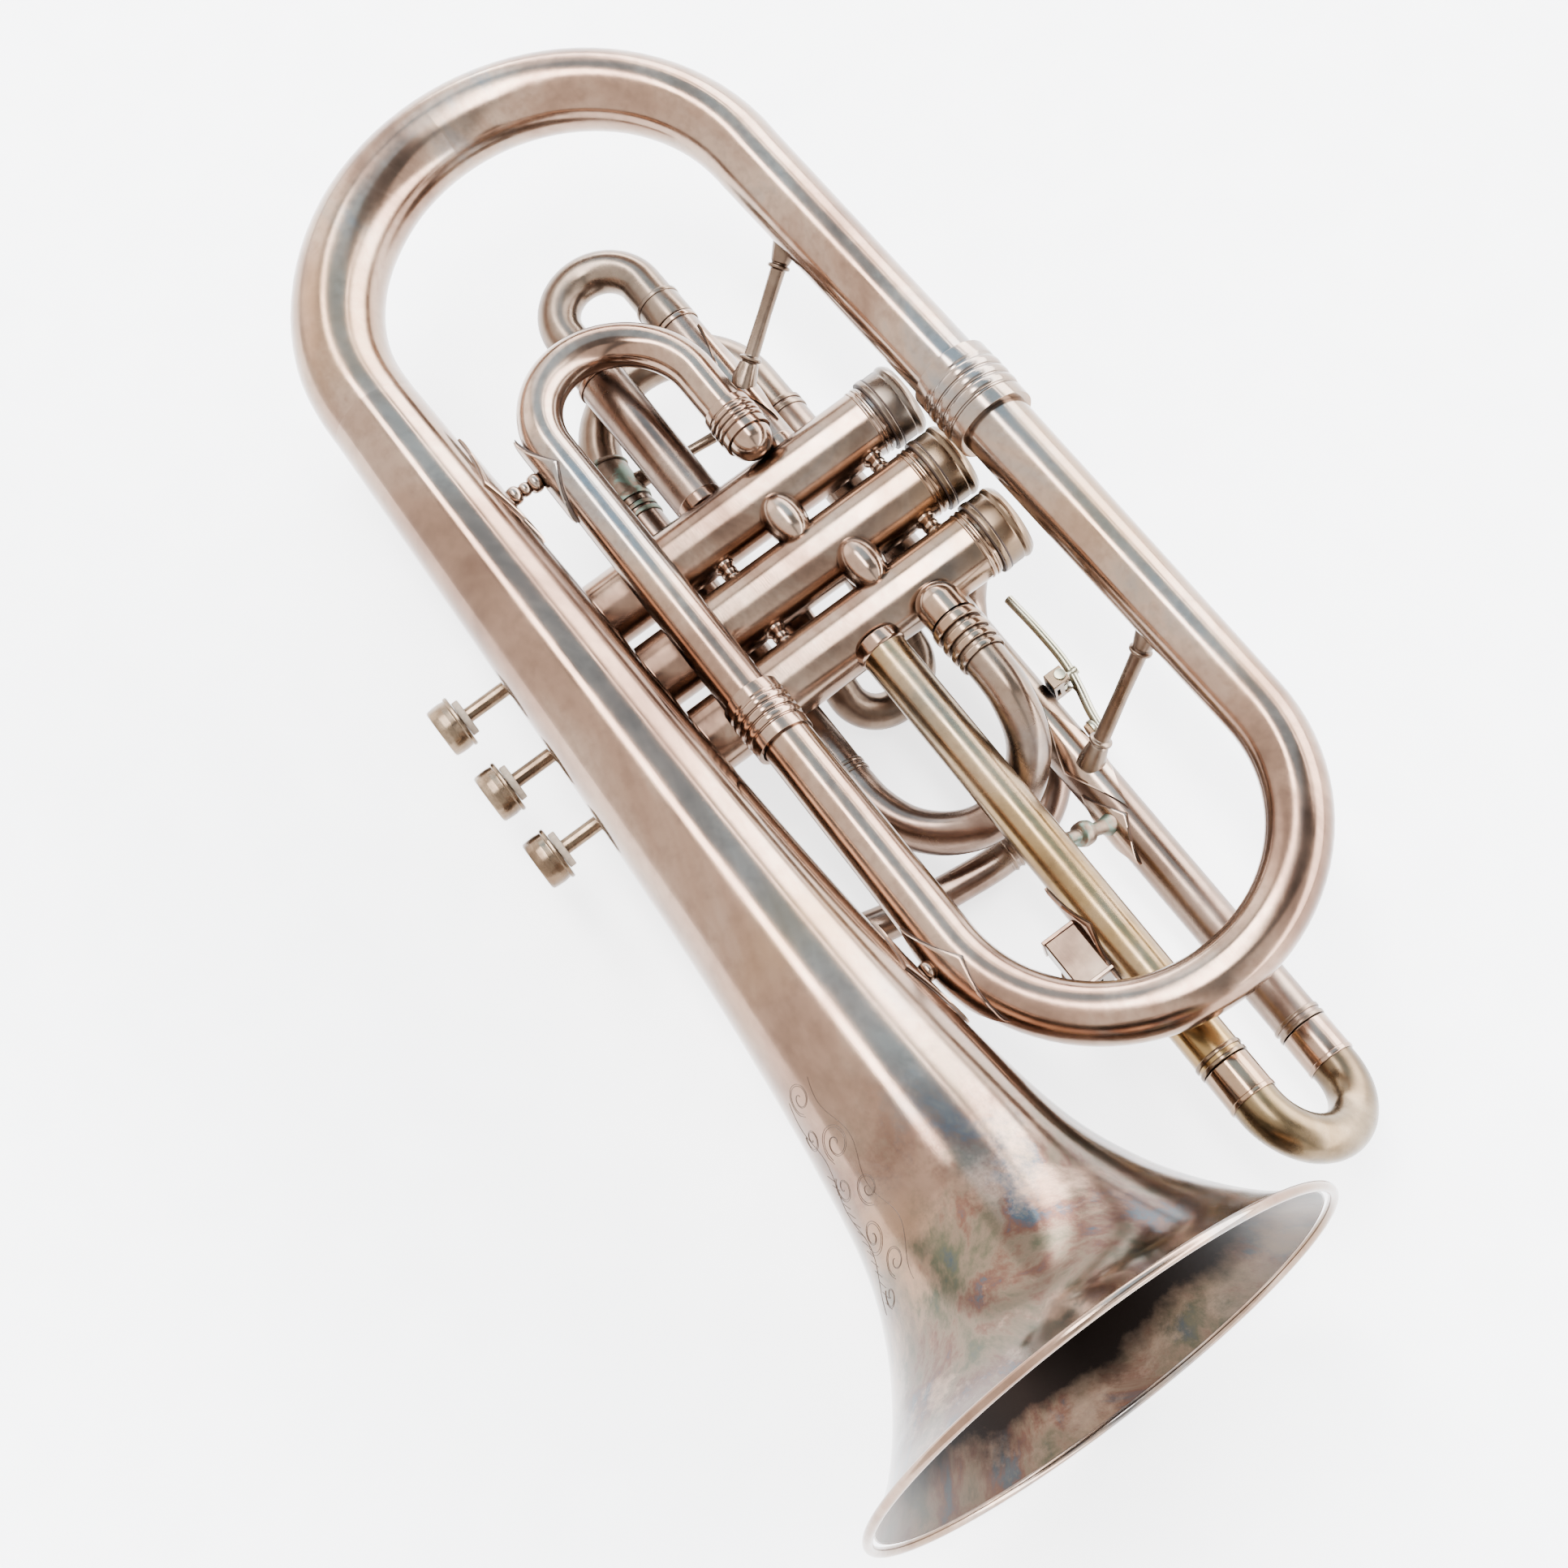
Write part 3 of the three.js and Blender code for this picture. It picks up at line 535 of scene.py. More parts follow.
def diamond(surface, middle, half_length, angle, half_angle, thickness):
    """A thin diamond plate wrapped on a round surface: surface(x, angle, lift) gives a point on it."""
    rows, columns = 40, 20
    verts, faces = [], []
    for lift in (-0.4, thickness):
        for i in range(rows + 1):
            u = i / rows * 2 - 1
            reach = half_angle * max(1 - abs(u), 0.015) ** 1.2
            for j in range(columns + 1):
                v = j / columns * 2 - 1
                edge = max(abs(v), abs(u))
                drop = 0.3 * max(0.0, edge - 0.9) / 0.1 if lift > 0 else 0.0
                verts.append(surface(middle + u * half_length, angle + v * reach, lift - drop))
    size = (rows + 1) * (columns + 1)
    for i in range(rows):
        for j in range(columns):
            a = i * (columns + 1) + j
            faces.append((a, a + 1, a + columns + 2, a + columns + 1))
            faces.append((size + a, size + a + columns + 1, size + a + columns + 2, size + a + 1))
    edge = [(0, j) for j in range(columns)] + [(i, columns) for i in range(rows)]
    edge += [(rows, j) for j in range(columns, 0, -1)] + [(i, 0) for i in range(rows, 0, -1)]
    loop = [i * (columns + 1) + j for i, j in edge]
    for a, b in zip(loop, loop[1:] + loop[:1]):
        faces.append((a, size + a, size + b, b))
    return verts, faces


def on_tube(points, radius_at):
    """surface(distance along, angle from +Y towards +Z, lift) for a tube along points."""
    along = lengths(points)

    def surface(s, angle, lift):
        i, centre = part_way(points, along, s)
        forward = (points[i] - points[i - 1]).normalized()
        up = Vector((0, 0, 1))
        across = up.cross(forward) if forward.x > 0 or abs(forward.x) < 0.3 else forward.cross(up)
        across.normalize()
        radius = radius_at(s / along[-1]) + lift
        return centre + (across * math.cos(angle) + up * math.sin(angle)) * radius

    return surface


# Bell and main tubing

def bell_profile():
    points = [Vector((x, r, 0)) for x, r in BELL_OUTLINE]
    return [(p.x, p.y) for p in curve(points, PROFILE_STEPS)]


def bell_radius(x):
    profile = bell_profile()
    for (x0, r0), (x1, r1) in zip(profile, profile[1:]):
        if x <= x1:
            return r0 + (r1 - r0) * (x - x0) / (x1 - x0)
    return profile[-1][1]


def bell():
    profile = bell_profile()
    centre = at(0, BELL_Y, BELL_Z)
    skin = 0.4
    outside = [(r, x) for x, r in profile] + [(r - skin, x) for x, r in reversed(profile)]
    inside = [(r - skin, x) for x, r in profile] + [(r - 2 * skin, x) for x, r in reversed(profile)]
    for name, outline, look in (("bell_outer_skin", outside, BELL_SILVER), ("bell_inner_skin", inside, BELL_INSIDE)):
        mesh = turned(outline + outline[:1], centre, centre + ALONG_X, sides=128, bevel=0)
        plate(name, mesh, look, "bell")
    wire = []
    wire_r = RIM_WIRE_R - 0.25
    for k in range(17):
        angle = 2 * math.pi * k / 16
        wire.append((RIM_R + wire_r * math.cos(angle), RIM_X + wire_r * math.sin(angle)))
    wire[-1] = wire[0]
    mesh = turned(wire, centre, centre + ALONG_X, sides=160, bevel=0)
    plate("bell_rim", mesh, SILVER, "bell_rim_wire")


BOW_START_X, BOW_TURN_X = -100.3, -102
BACK_TUBE_LENGTH = 103


def main_bow_path():
    """From inside the bell's tail, round the bow and on to the end of the back tube."""
    bow = u_route(at(BOW_START_X, BELL_Y - 1, BELL_Z), at(BOW_START_X, BACK_START_Y, BACK_Z), BOW_TURN_X)
    settle = 26
    path = [at(x, BELL_Y, BELL_Z) for x in (-96, -98, -100.2)]
    for p in bow[1:]:
        near = 1 - min(1, (BOW_START_X - p.x) / settle) if p.y < 0 else 0
        path.append(p + at(0, near * near * (3 - 2 * near), 0))
    return path + refined(at(-99, BACK_START_Y, BACK_Z), at(2, BACK_END_Y, BACK_Z))


def right_bow_path():
    reach = (RIGHT_BOW_Y - RETURN_Y) / 2
    tip = RIGHT_BOW_X + reach
    return route([at(2.3, BACK_END_Y, BACK_Z), at(tip, RIGHT_BOW_Y, BACK_Z), at(tip, RETURN_Y, RETURN_Z),
                  at(40.8, RETURN_Y, RETURN_Z)], reach * 0.99)


RIGHT_BOW = right_bow_path()
SMALL_BOW = u_route(at(40.5, -27.4, RETURN_Z), at(-42.3, ELBOW_1.y, ELBOW_1.z), -62.1)


def right_bow_radius(t):
    return 9.7 - 2.6 * t


def small_bow_radius(t):
    return 7 - 0.9 * t


def main_tubing():
    path = main_bow_path()
    along = lengths(path)
    straight_share = (along[-1] - BACK_TUBE_LENGTH) / along[-1]

    def radius(t):
        bend = min(1, t / straight_share)
        if t > straight_share:
            return 10.6 - 0.7 * (t - straight_share) / (1 - straight_share)
        return 13.28 - 2.68 * max(0, bend - 0.35) / 0.65

    plate("main_bow_and_back_tube", tube(path, radius), SILVER, "main_bow", "back_tube")
    plate("right_bow_tube", tube(RIGHT_BOW, right_bow_radius), SILVER, "right_bow")
    plate("small_bow_tube", tube(SMALL_BOW, small_bow_radius), SILVER, "small_bow")


def ferrule(name, x0, x1, y, z, inner, outer, node):
    """A soldered ferrule: plain sleeves at the ends and three rounded beads."""
    length = x1 - x0
    outline = [(inner, 0), (outer - 0.35, 0), (outer - 0.3, length * 0.2), (outer - 0.7, length * 0.23)]
    for k in range(3):
        start = length * (0.26 + 0.17 * k)
        width = length * 0.15
        for j in range(7):
            angle = math.pi * j / 6
            outline.append((outer - 0.75 + 0.75 * math.sin(angle), start + width * (0.5 - 0.5 * math.cos(angle))))
    outline += [(outer - 0.7, length * 0.77), (outer - 0.3, length * 0.8), (outer - 0.35, length), (inner, length),
                (inner, 0)]
    start = at(x0, y, z)
    plate(name, turned(outline, start, start + ALONG_X, bevel=0.08), SILVER, node)


def saddled(mesh, valve_x, direction):
    """Pushes the points of a tube's end that lie inside a casing back out to its wall."""
    points, faces = mesh
    reach = CASING_R - 0.2
    flat = Vector((direction.x, direction.z))
    for p in points:
        q = Vector((p.x - valve_x, p.z))
        if q.length < reach:
            b = q.dot(flat)
            p += direction * (-b + math.sqrt(b * b + (reach * reach - q.length_squared)))
    return points, faces


def dome_elbow(name, place, r, dome_x, node):
    """The end of a tube: a dome that rests against a casing."""
    side = math.copysign(1, place.x - dome_x)
    length = abs(place.x - dome_x)
    outline = [(0, 0), (r, 0), (r, length)]
    outline += [(r * math.cos(a), length + r * math.sin(a)) for a in (math.radians(6 * k) for k in range(1, 15))]
    outline.append((0, length + r))
    mesh = turned(outline, place, place - at(side, 0, 0), bevel=0)
    plate(name, mesh, SILVER, node)


# Valves

def valve(n):
    x = (n - 2) * PITCH
    axis = at(0, 1, 0)
    base = at(x, 0, 0)
    top, bottom = CASING_TOP_Y, 58
    bore = 9
    casing = [(bore, top), (CASING_R, top), (CASING_R, 47.6), (CASING_R + 0.3, 47.8), (CASING_R + 0.3, 48.3),
              (CASING_R, 48.5), (CASING_R, 49.2), (CASING_R + 0.35, 49.4), (CASING_R + 0.35, 50), (CASING_R, 50.2),
              (CASING_R, bottom), (bore, bottom), (bore, top)]
    plate(f"casing_{n}", turned(casing, base, base + axis, bevel=0.12), SILVER, f"valve_casing_{n}")
    cap = [(CASING_R + 0.3, 51.6), (CAP_R - 0.1, 51.6), (CAP_R, 52), (CAP_R, 53), (CAP_R - 0.5, 53.4),
           (CAP_R - 0.35, 53.7), (CAP_R - 0.35, 57.6), (CAP_R - 0.6, 57.9), (CAP_R - 0.1, 58.6), (CAP_R, 59.4),
           (CAP_R - 0.3, 60.3), (CAP_R - 1.2, 61.4), (7, 62), (2, 62), (2, 60.5), (CASING_R + 0.3, 60.5),
           (CASING_R + 0.3, 51.6)]
    mesh = turned(cap, base, base + axis, sides=144, bevel=0.15, ridges=(53.6, 57.7, 0.1))
    plate(f"bottom_cap_{n}_turned", mesh, BROWN, f"bottom_cap_{n}")
    for k, y in enumerate((51.3, 53.2), 1):
        line = [(CASING_R, y), (CAP_R - 0.15, y), (CAP_R - 0.15, y + 0.5), (CASING_R, y + 0.5), (CASING_R, y)]
        mesh = turned(line, base, base + axis, bevel=0.05)
        plate(f"bottom_cap_{n}_line_{k}", mesh, DARK_LINE)
    end, rim = -70, -53
    cap = [(2.7, end), (CAP_R - 2, end), (CAP_R - 0.6, end + 2), (CAP_R - 0.6, rim - 4), (CAP_R, rim - 3.8),
           (CAP_R, rim), (CASING_R + 0.3, rim), (CASING_R + 0.3, end + 5), (2.7, end + 5), (2.7, end)]
    mesh = turned(cap, base, base + axis, sides=144, bevel=0.3, ridges=(rim - 3.6, rim - 0.4, 0.25))
    plate(f"top_cap_{n}_turned", mesh, BROWN, f"top_cap_{n}")
    face, under = -98, -91
    button = [(0, face + 0.8), (5.9, face + 0.8), (6.3, face + 0.1), (6.9, face), (7.3, face + 0.5),
              (7.45, face + 2.2), (7.5, under - 3), (7.3, under - 1.5), (7.3, under - 1.3), (7.8, under - 1.1),
              (7.8, under - 0.2), (7.4, under), (2.3, under), (2.2, under + 0.5), (2.2, -47.3), (0, -47.3)]
    piece(f"button_and_stem_{n}", turned(button, base, base + axis, bevel=0.15), f"valve_{n}", BUTTON, "dark_brass",
          f"stem_button_{n}")
    inlay = [(0, face + 0.35), (3.5, face + 0.5), (5.8, face + 0.75), (5.8, face + 1.2), (0, face + 1.2)]
    piece(f"button_inlay_{n}", turned(inlay, base, base + axis, bevel=0), f"valve_{n}", PEARL, "dark_brass")
    felt = [(2.3, under + 0.1), (5.4, under + 0.1), (5.4, under + 2.1), (2.3, under + 2.1), (2.3, under + 0.1)]
    piece(f"felt_washer_{n}", turned(felt, base, base + axis, bevel=0.4), f"valve_{n}", FELT, "dark_brass")


def between_valves():
    for n, x, y in ((1, -PITCH / 2, 12.5), (2, PITCH / 2, 21)):
        r, half = 5.9, 8.8
        outline = [(r * math.sin(math.radians(9 * k)), -half * math.cos(math.radians(9 * k))) for k in range(21)]
        outline[0], outline[-1] = (0, -half), (0, half)
        mesh = turned(outline, at(x, y, 6.4), at(x + 1, y, 6.4), bevel=0)
        plate(f"knuckle_{n}_smooth", mesh, SILVER, f"knuckle_{n}")
    half = PITCH / 2 - CASING_R + 0.4
    for n, (side, y) in enumerate(((-1, 43), (1, 43), (-1, -8), (1, -8)), 1):
        outline = [(0, -half), (3.2, -half), (3, -half + 0.8), (2, -1), (2.3, -0.9), (2.5, 0), (2.3, 0.9), (2, 1),
                   (3, half - 0.8), (3.2, half), (0, half)]
        x = side * PITCH / 2
        mesh = turned(outline, at(x, y, 0), at(x + 1, y, 0), sides=32, bevel=0.15)
        plate(f"post_{n}_smooth", mesh, SILVER, f"casing_post_{n}")


# Slides

def straight(name, centre, r, x0, x1, look, slot, node, valve_x=None):
    """A straight tube along X; with valve_x its first end is fitted against that valve's casing."""
    mesh = tube(refined(at(x0, centre.y, centre.z), at(x1, centre.y, centre.z)), lambda t: r)
    if valve_x is not None:
        mesh = saddled(mesh, valve_x, at(math.copysign(1, x1 - x0), 0, 0))
    piece(name, mesh, "horn", look, slot, node)


def casing_collar(name, valve_x, axis_point, direction, r):
    """A raised ring of solder where a tube meets a casing."""
    end = CASING_R + 1.6
    near = CASING_R - 2.5
    ring = [(r - 0.4, near), (r + 0.6, near), (r + 0.6, end - 0.6), (r + 0.1, end), (r - 0.4, end), (r - 0.4, near)]
    mesh = turned(ring, axis_point, axis_point + direction, bevel=0.4)
    plate(name, saddled(mesh, valve_x, direction), SILVER)


def slide_bow(name, points, inner_length, bow_r, leg_r, body, look, slot, node):
    """The bow with its two inner legs as one tube that steps down where it enters the outer legs."""
    back = (points[0] - points[1]).normalized()
    path = [points[0] + back * inner_length, points[0] + back * 0.3, *points, points[-1] + back * 0.3,
            points[-1] + back * inner_length]
    along = lengths(path)
    limits = along[2] / along[-1] - 1e-6, along[-3] / along[-1] + 1e-6

    def radius(t):
        return bow_r if limits[0] <= t <= limits[1] else leg_r

    piece(name, tube(path, radius), body, look, slot, node)


def first_slide():
    legs = [(at(0, -2.1, 0), 7.2), (FIRST_LEG_2, 6.3)]
    for n, (centre, r) in enumerate(legs, 1):
        straight(f"first_leg_{n}_smooth", centre, r, -PITCH - 8, SLIDE_1_END_X, DULL, "silver_plate",
                 f"first_slide_leg_{n}", -PITCH)
        plate(f"first_leg_{n}_bead", ring_x(SLIDE_1_END_X, SLIDE_1_END_X + 1.6, centre, r - 0.3, r + 0.5), SILVER)
        casing_collar(f"first_leg_{n}_collar", -PITCH, at(-PITCH, centre.y, 0), at(-1, 0, 0), r - 0.5)
        end = SLIDE_1_END_X - SLIDE_GAP
        piece(f"first_slide_sleeve_{n}", ring_x(end - 8.5, end, centre, 6, 6.75), "first_slide", BROWN, "dark_brass")
        piece(f"first_slide_bead_{n}", ring_x(end - 9.8, end - 8.4, centre, 6, 7), "first_slide", BROWN, "dark_brass")
    a, b = (at(SLIDE_1_END_X - SLIDE_GAP, c.y, 0) for c, r in legs)
    slide_bow("first_bow_smooth", u_route(a, b, -104), 34, 6.3, 5.2, "first_slide", BROWN, "dark_brass",
              "first_slide_bow")


def second_slide():
    tilt = math.radians(45)
    down = at(math.sin(tilt), 0, -math.cos(tilt))
    y1, y2 = -1.5, 21.5

    def point(y, reach):
        return down * reach + at(0, y, 0)

    for n, y in enumerate((y1, y2), 1):
        mesh = saddled(tube(refined(point(y, 8), point(y, 30), 4), lambda t: 5.6), 0, down)
        plate(f"second_leg_{n}_smooth", mesh, SILVER, f"second_slide_leg_{n}")
        ring = [(5.4, 0), (6.1, 0), (6.1, 1.6), (5.4, 1.6), (5.4, 0)]
        start = point(y, 28.4)
        plate(f"second_leg_{n}_bead", turned(ring, start, start + down), BROWN)
    radius = (y2 - y1) / 2
    corners = [point(y1, 30.3), point(y1, 48.9), point(y2, 48.9), point(y2, 30.3)]
    slide_bow("second_bow_smooth", route(corners, radius * 0.9999), 14, 5.2, 4.5, "second_slide", BROWN,
              "yellow_brass", "second_slide_bow")


def third_slide():
    straight("long_tube_smooth", LONG, LONG_R, SLIDE_3_END_X, TUNING_END_X, DULL, "silver_plate", "long_tube")
    a, b = at(SLIDE_3_END_X - SLIDE_GAP, LONG.y, LONG.z), at(SLIDE_3_END_X - SLIDE_GAP, LOWER.y, LOWER.z)
    bow = u_route(a, b, -66)
    slide_bow("third_bow_smooth", bow, 30, 6.2, 5, "third_slide", BROWN, "dark_brass", "third_slide_bow")
    total = lengths(bow)[-1]
    for n, (start, end, stand) in enumerate(((16.5, 17.9, 0.8), (4.2, 16.7, 0.45), (2.2, 4.4, 0.9)), 1):
        mesh = band(bow, 6.2, total - end, total - start, stand)
        piece(f"corroded_ring_{n}", mesh, "third_slide", CORRODED, "dark_brass")
    loop = curve([at(52, LOWER.y, LOWER.z), at(62, -15.2, -17.3), at(72.5, -11.5, -17.2), at(80.8, -4.5, -16.2),
                  at(85.8, 4.5, -14), at(86, 15.6, -10.6), at(80, 25, -1.5), at(69, 28.8, 7),
                  at(54, ELBOW_3.y, ELBOW_3.z), at(43, ELBOW_3.y, ELBOW_3.z)], 14)
    path = refined(at(SLIDE_3_END_X, LOWER.y, LOWER.z), at(51.5, LOWER.y, LOWER.z)) + loop
    plate("lower_tube_smooth", tube(path, lambda t: LOWER_R), DULL, "lower_tube_and_loop")
    for n, x in enumerate((48, 50.4), 1):
        plate(f"loop_joint_{n}", ring_x(x, x + 1.2, LOWER, 5.8, 6.4), BROWN)
    for n, x in enumerate((SLIDE_3_END_X, SLIDE_3_END_X + 2.4), 1):
        plate(f"long_tube_joint_{n}", ring_x(x, x + 1.5, LONG, 6.3, 6.95), BROWN)
        plate(f"lower_tube_joint_{n}", ring_x(x, x + 1.5, LOWER, 5.8, 6.5), CORRODED)
    for n, (x, r, width) in enumerate(((57, 6.9, 2), (53.8, 7.05, 2.2), (50.4, 7.2, 2.5), (46.6, 7.3, 3)), 1):
        plate(f"dome_3_bead_{n}", ring_x(x - width, x, ELBOW_3, 5.8, r, 0.7), SILVER)


def tuning_slide():
    straight("tuning_leg_smooth", TUNING, LONG_R, PITCH + 8, TUNING_END_X, YELLOW, "yellow_brass", "tuning_leg",
             PITCH)
    casing_collar("tuning_leg_collar", PITCH, at(PITCH, TUNING.y, TUNING.z), ALONG_X, LONG_R)
    a, b = (at(TUNING_END_X + SLIDE_GAP, c.y, c.z) for c in (TUNING, LONG))
    bow = u_route(a, b, 193)
    slide_bow("tuning_bow_smooth", bow, 60, 6.3, 5.5, "tuning_slide", GOLD, "yellow_brass", "tuning_slide_bow")
    for n, centre in enumerate((TUNING, LONG), 1):
        for k, (x0, x1, r) in enumerate(((0, 9.8, 6.65), (9.6, 11, 6.8)), 1):
            start = TUNING_END_X + SLIDE_GAP
            piece(f"tuning_sleeve_{n}_{k}", ring_x(start + x0, start + x1, centre, 6.1, r), "tuning_slide", SILVER,
                  "yellow_brass")
        for k, x in enumerate((TUNING_END_X - 1.2, TUNING_END_X - 3.4), 1):
            plate(f"tuning_leg_{n}_bead_{k}", ring_x(x, x + 1.2, centre, 6.3, 6.9), BROWN)


# Mouthpipe

STEPS_PER_SPAN = 11
CROSSING_SPANS = 6


def mouthpipe():
    y, z = PIPE.y, PIPE.z
    outline = [(5, 0), (8, 0), (8, 4), (7, 6), (7, 48), (6.6, 50), (4.6, 50), (5, 0)]
    start = at(-142, y, z)
    plate("receiver_smooth", turned(outline, start, start + ALONG_X, bevel=0.5), SILVER, "mouthpiece_receiver")
    straight("mouthpipe_smooth", PIPE, PIPE_R, -91.7, 58.2, SILVER, "silver_plate", "mouthpipe")
    controls = [(58.3, y, z), (66, -57.4, z), (76.5, -51, z), (82.5, -40, z), (86.4, -26, z), (89, -10, z),
                (90.4, 5, z), (89, 18, z), (81.5, 29, z), (68, 35.4, z), (48, 36.2, z), (34, 37.6, z),
                (25, 42.5, z + 2.6), (21.4, 46.6, z + 9.4), (21, 47, -10.6)]
    bend = curve([at(*p) for p in controls], STEPS_PER_SPAN)
    joint = CROSSING_SPANS * STEPS_PER_SPAN
    crossing, back = bend[:joint + 1], bend[joint:]
    mesh = tube(crossing, lambda t: PIPE_R + (RETURN_R - PIPE_R) * t)
    plate("crossing_smooth", mesh, DULL, "mouthpipe_crossing")
    plate("return_smooth", tube(back, lambda t: RETURN_R), DULL, "mouthpipe_return")
    for n, place in enumerate((0.6, 2.6), 1):
        plate(f"crossing_joint_{n}", band(back, RETURN_R, place, place + 1.1, 0.5), BROWN)


# Braces, plates, lyre socket and water key

def brace(name, start, end, rod_r, foot_r, node, body="horn", slot="silver_plate"):
    """A turned brace: a long cone foot and a bead at each end of a thin rod."""
    length = (end - start).length
    outline = [(0, -0.6), (foot_r + 0.2, -0.6), (foot_r, 0.6), (rod_r + 0.5, 6.5), (rod_r + 0.1, 7),
               (rod_r + 1, 7.4), (rod_r + 1, 8.2), (rod_r, 8.6), (rod_r - 0.2, length / 2), (rod_r, length - 8.6),
               (rod_r + 1, length - 8.2), (rod_r + 1, length - 7.4), (rod_r + 0.1, length - 7),
               (rod_r + 0.5, length - 6.5), (foot_r, length - 0.6), (foot_r + 0.2, length + 0.6), (0, length + 0.6)]
    mesh = turned(outline, start, end, sides=40, bevel=0.25)
    piece(name, mesh, body, BROWN, slot, node)


def ball_brace(name, start, end, balls, node):
    """A short brace turned as one ball, or as two with a small one between them."""
    length = (end - start).length
    outline = [(0, -0.4)]
    widths = [1, 0.72, 1] if balls == 3 else [1]
    unit = length / sum(widths)
    place = 0.0
    for width in widths:
        size = width * unit
        for k in range(11):
            angle = math.pi * k / 10
            outline.append((1.3 + (1.5 if width == 1 else 0.8) * math.sin(angle),
                            place + size * (0.5 - 0.5 * math.cos(angle))))
        place += size
    outline.append((0, length + 0.4))
    plate(name, turned(outline, start, end, sides=40, bevel=0), SILVER, node)


def braces():
    brace("first_slide_strut", at(-74, 60.6, 22.4), at(-55.4, 27.6, 4), 2.2, 3.9, "brace_back_tube_to_first_slide")
    brace("long_tube_strut", at(82.5, 65.6, 22.2), at(90.6, 36.4, -11.8), 2.25, 3.9, "brace_back_tube_to_long_tube")
    outline = [(0, 0), (3.1, 0), (3, 1.4), (2, 3.2), (1.8, 7.4), (3.2, 8), (3.6, 10), (3.2, 12), (1.8, 12.6),
               (2, 17), (3, 20), (3.1, 21.9), (0, 21.9)]
    mesh = turned(outline, at(107, 14.4, 0.4), at(107, 31, -13.9), sides=40)
    plate("slide_legs_strut", mesh, CORRODED, "brace_slide_legs")
    brace("third_slide_strut", at(-62.6, -12, -17.3), at(-57.5, 31, -17.3), 1.8, 3, "third_slide_brace",
          "third_slide", "dark_brass")
    ball_brace("upper_bell_strut", at(-56.5, -45.2, 26.7), at(-56.5, -34.8, 25.1), 3, "bell_brace_upper")
    ball_brace("lower_bell_strut", at(122, -36.6, 27.4), at(122, -33.5, 26), 1, "bell_brace_lower")


def on_bell(x, angle, lift):
    r = bell_radius(x) + lift
    return at(x, BELL_Y + r * math.cos(angle), BELL_Z + r * math.sin(angle))


def on_straight(centre, r):
    def surface(x, angle, lift):
        return at(x, centre.y + (r + lift) * math.cos(angle), centre.z + (r + lift) * math.sin(angle))
    return surface


def plates():
    """Diamond plates under the feet of the braces and the lyre socket."""
    small = on_straight(at(0, -27.4, RETURN_Z), 6.85)
    right = on_tube(RIGHT_BOW, right_bow_radius)
    total = lengths(RIGHT_BOW)[-1]
    long_tube = on_straight(LONG, LONG_R)
    tuning_leg = on_straight(TUNING, LONG_R)
    spots = [
        ("bell_plate_upper", on_bell, -58, 21, 0.1, 0.55),
        ("bell_plate_lower", on_bell, 122, 18, 0.06, 0.4),
        ("small_bow_plate", small, -54.8, 16, 2.92, 1.15),
        ("right_bow_plate", right, total - 85, 17, 2.7, 1.1),
        ("first_leg_plate", on_straight(FIRST_LEG_2, 6.3), -59.5, 20, 0.83, 0.95),
        ("long_tube_plate_1", long_tube, 88.2, 19, 1.4, 1.1),
        ("long_tube_plate_2", long_tube, 108.2, 12.5, 2.55, 1.0),
        ("tuning_leg_plate", tuning_leg, 107, 12, -0.9, 0.7),
        ("lyre_plate", tuning_leg, 132, 16.5, 3.2, 0.95)]
    for name, surface, middle, half, angle, width in spots:
        plate(name, diamond(surface, middle, half, angle, width, 0.9), SILVER)
        # A slightly larger dark plate under each one shows as a dark seam round its edge: a solder joint, partly
        # painted shade.
        seam_and_shade = diamond(surface, middle, half * 1.035, angle, width * 1.05, 0.2)
        plate(f"{name}_seam", seam_and_shade, DARK_LINE)


def scroll(x, angle, size, turns, lean, hand):
    """A spiral that unwinds into a stem, in (x, angle) on the bell."""
    line = []
    steps = 46
    for k in range(steps + 1):
        t = k / steps
        sweep = lean + hand * turns * 2 * math.pi * (1 - t) ** 0.8
        r = size * (0.12 + 0.88 * t)
        line.append((x + r * math.cos(sweep), angle + r * math.sin(sweep) / bell_radius(x)))
    return line


def scrollwork():
    """Generic engraved leaf scrolls on the flare: fine dark lines on the surface."""
    drawn = []
    for x, angle, size, turns, lean, hand in (
            (134, 2.45, 4.5, 1.6, 0.4, 1), (143, 2.62, 3.4, 1.4, 2.2, -1), (149, 2.34, 5.2, 1.7, 0.9, 1),
            (158, 2.56, 3.8, 1.4, 2.8, -1), (163, 2.28, 4.2, 1.5, 0.2, 1), (172, 2.5, 4.6, 1.6, 1.2, -1),
            (181, 2.36, 4, 1.4, 0.6, 1), (186, 2.56, 3, 1.3, 2.4, -1)):
        drawn.append(scroll(x, angle, size, turns, lean, hand))
        drawn.append(scroll(x, angle, size * 0.86, turns, lean + 0.12, hand))
    for k in range(14):
        x = 152 + 2.6 * k
        drawn.append([(x + 0.7 * j, 2.72 - 0.02 * j - 0.004 * k) for j in range(5)])
    for start in (2.2, 2.66):
        drawn.append([(132 + 1.6 * k, start + 0.06 * math.sin(k * 0.42)) for k in range(36)])
    lines = [rod_along([on_bell(x, angle, 0.0) for x, angle in line], 0.085, 6) for line in drawn]
    plate("bell_scrollwork", merged(*lines), ENGRAVED)


def slotted_box(x0, x1, outer, inner):
    """A box open along X, from (low y, high y, low z, high z) of its outside and of its slot."""
    verts, faces = [], []
    for x in (x0, x1):
        for y0, y1, z0, z1 in (outer, inner):
            verts += [at(x, y0, z0), at(x, y1, z0), at(x, y1, z1), at(x, y0, z1)]
    for k in range(4):
        n = (k + 1) % 4
        faces += [(k, n, 8 + n, 8 + k), (4 + k, 12 + k, 12 + n, 4 + n), (k, 4 + k, 4 + n, n),
                  (8 + k, 8 + n, 12 + n, 12 + k)]
    return verts, faces


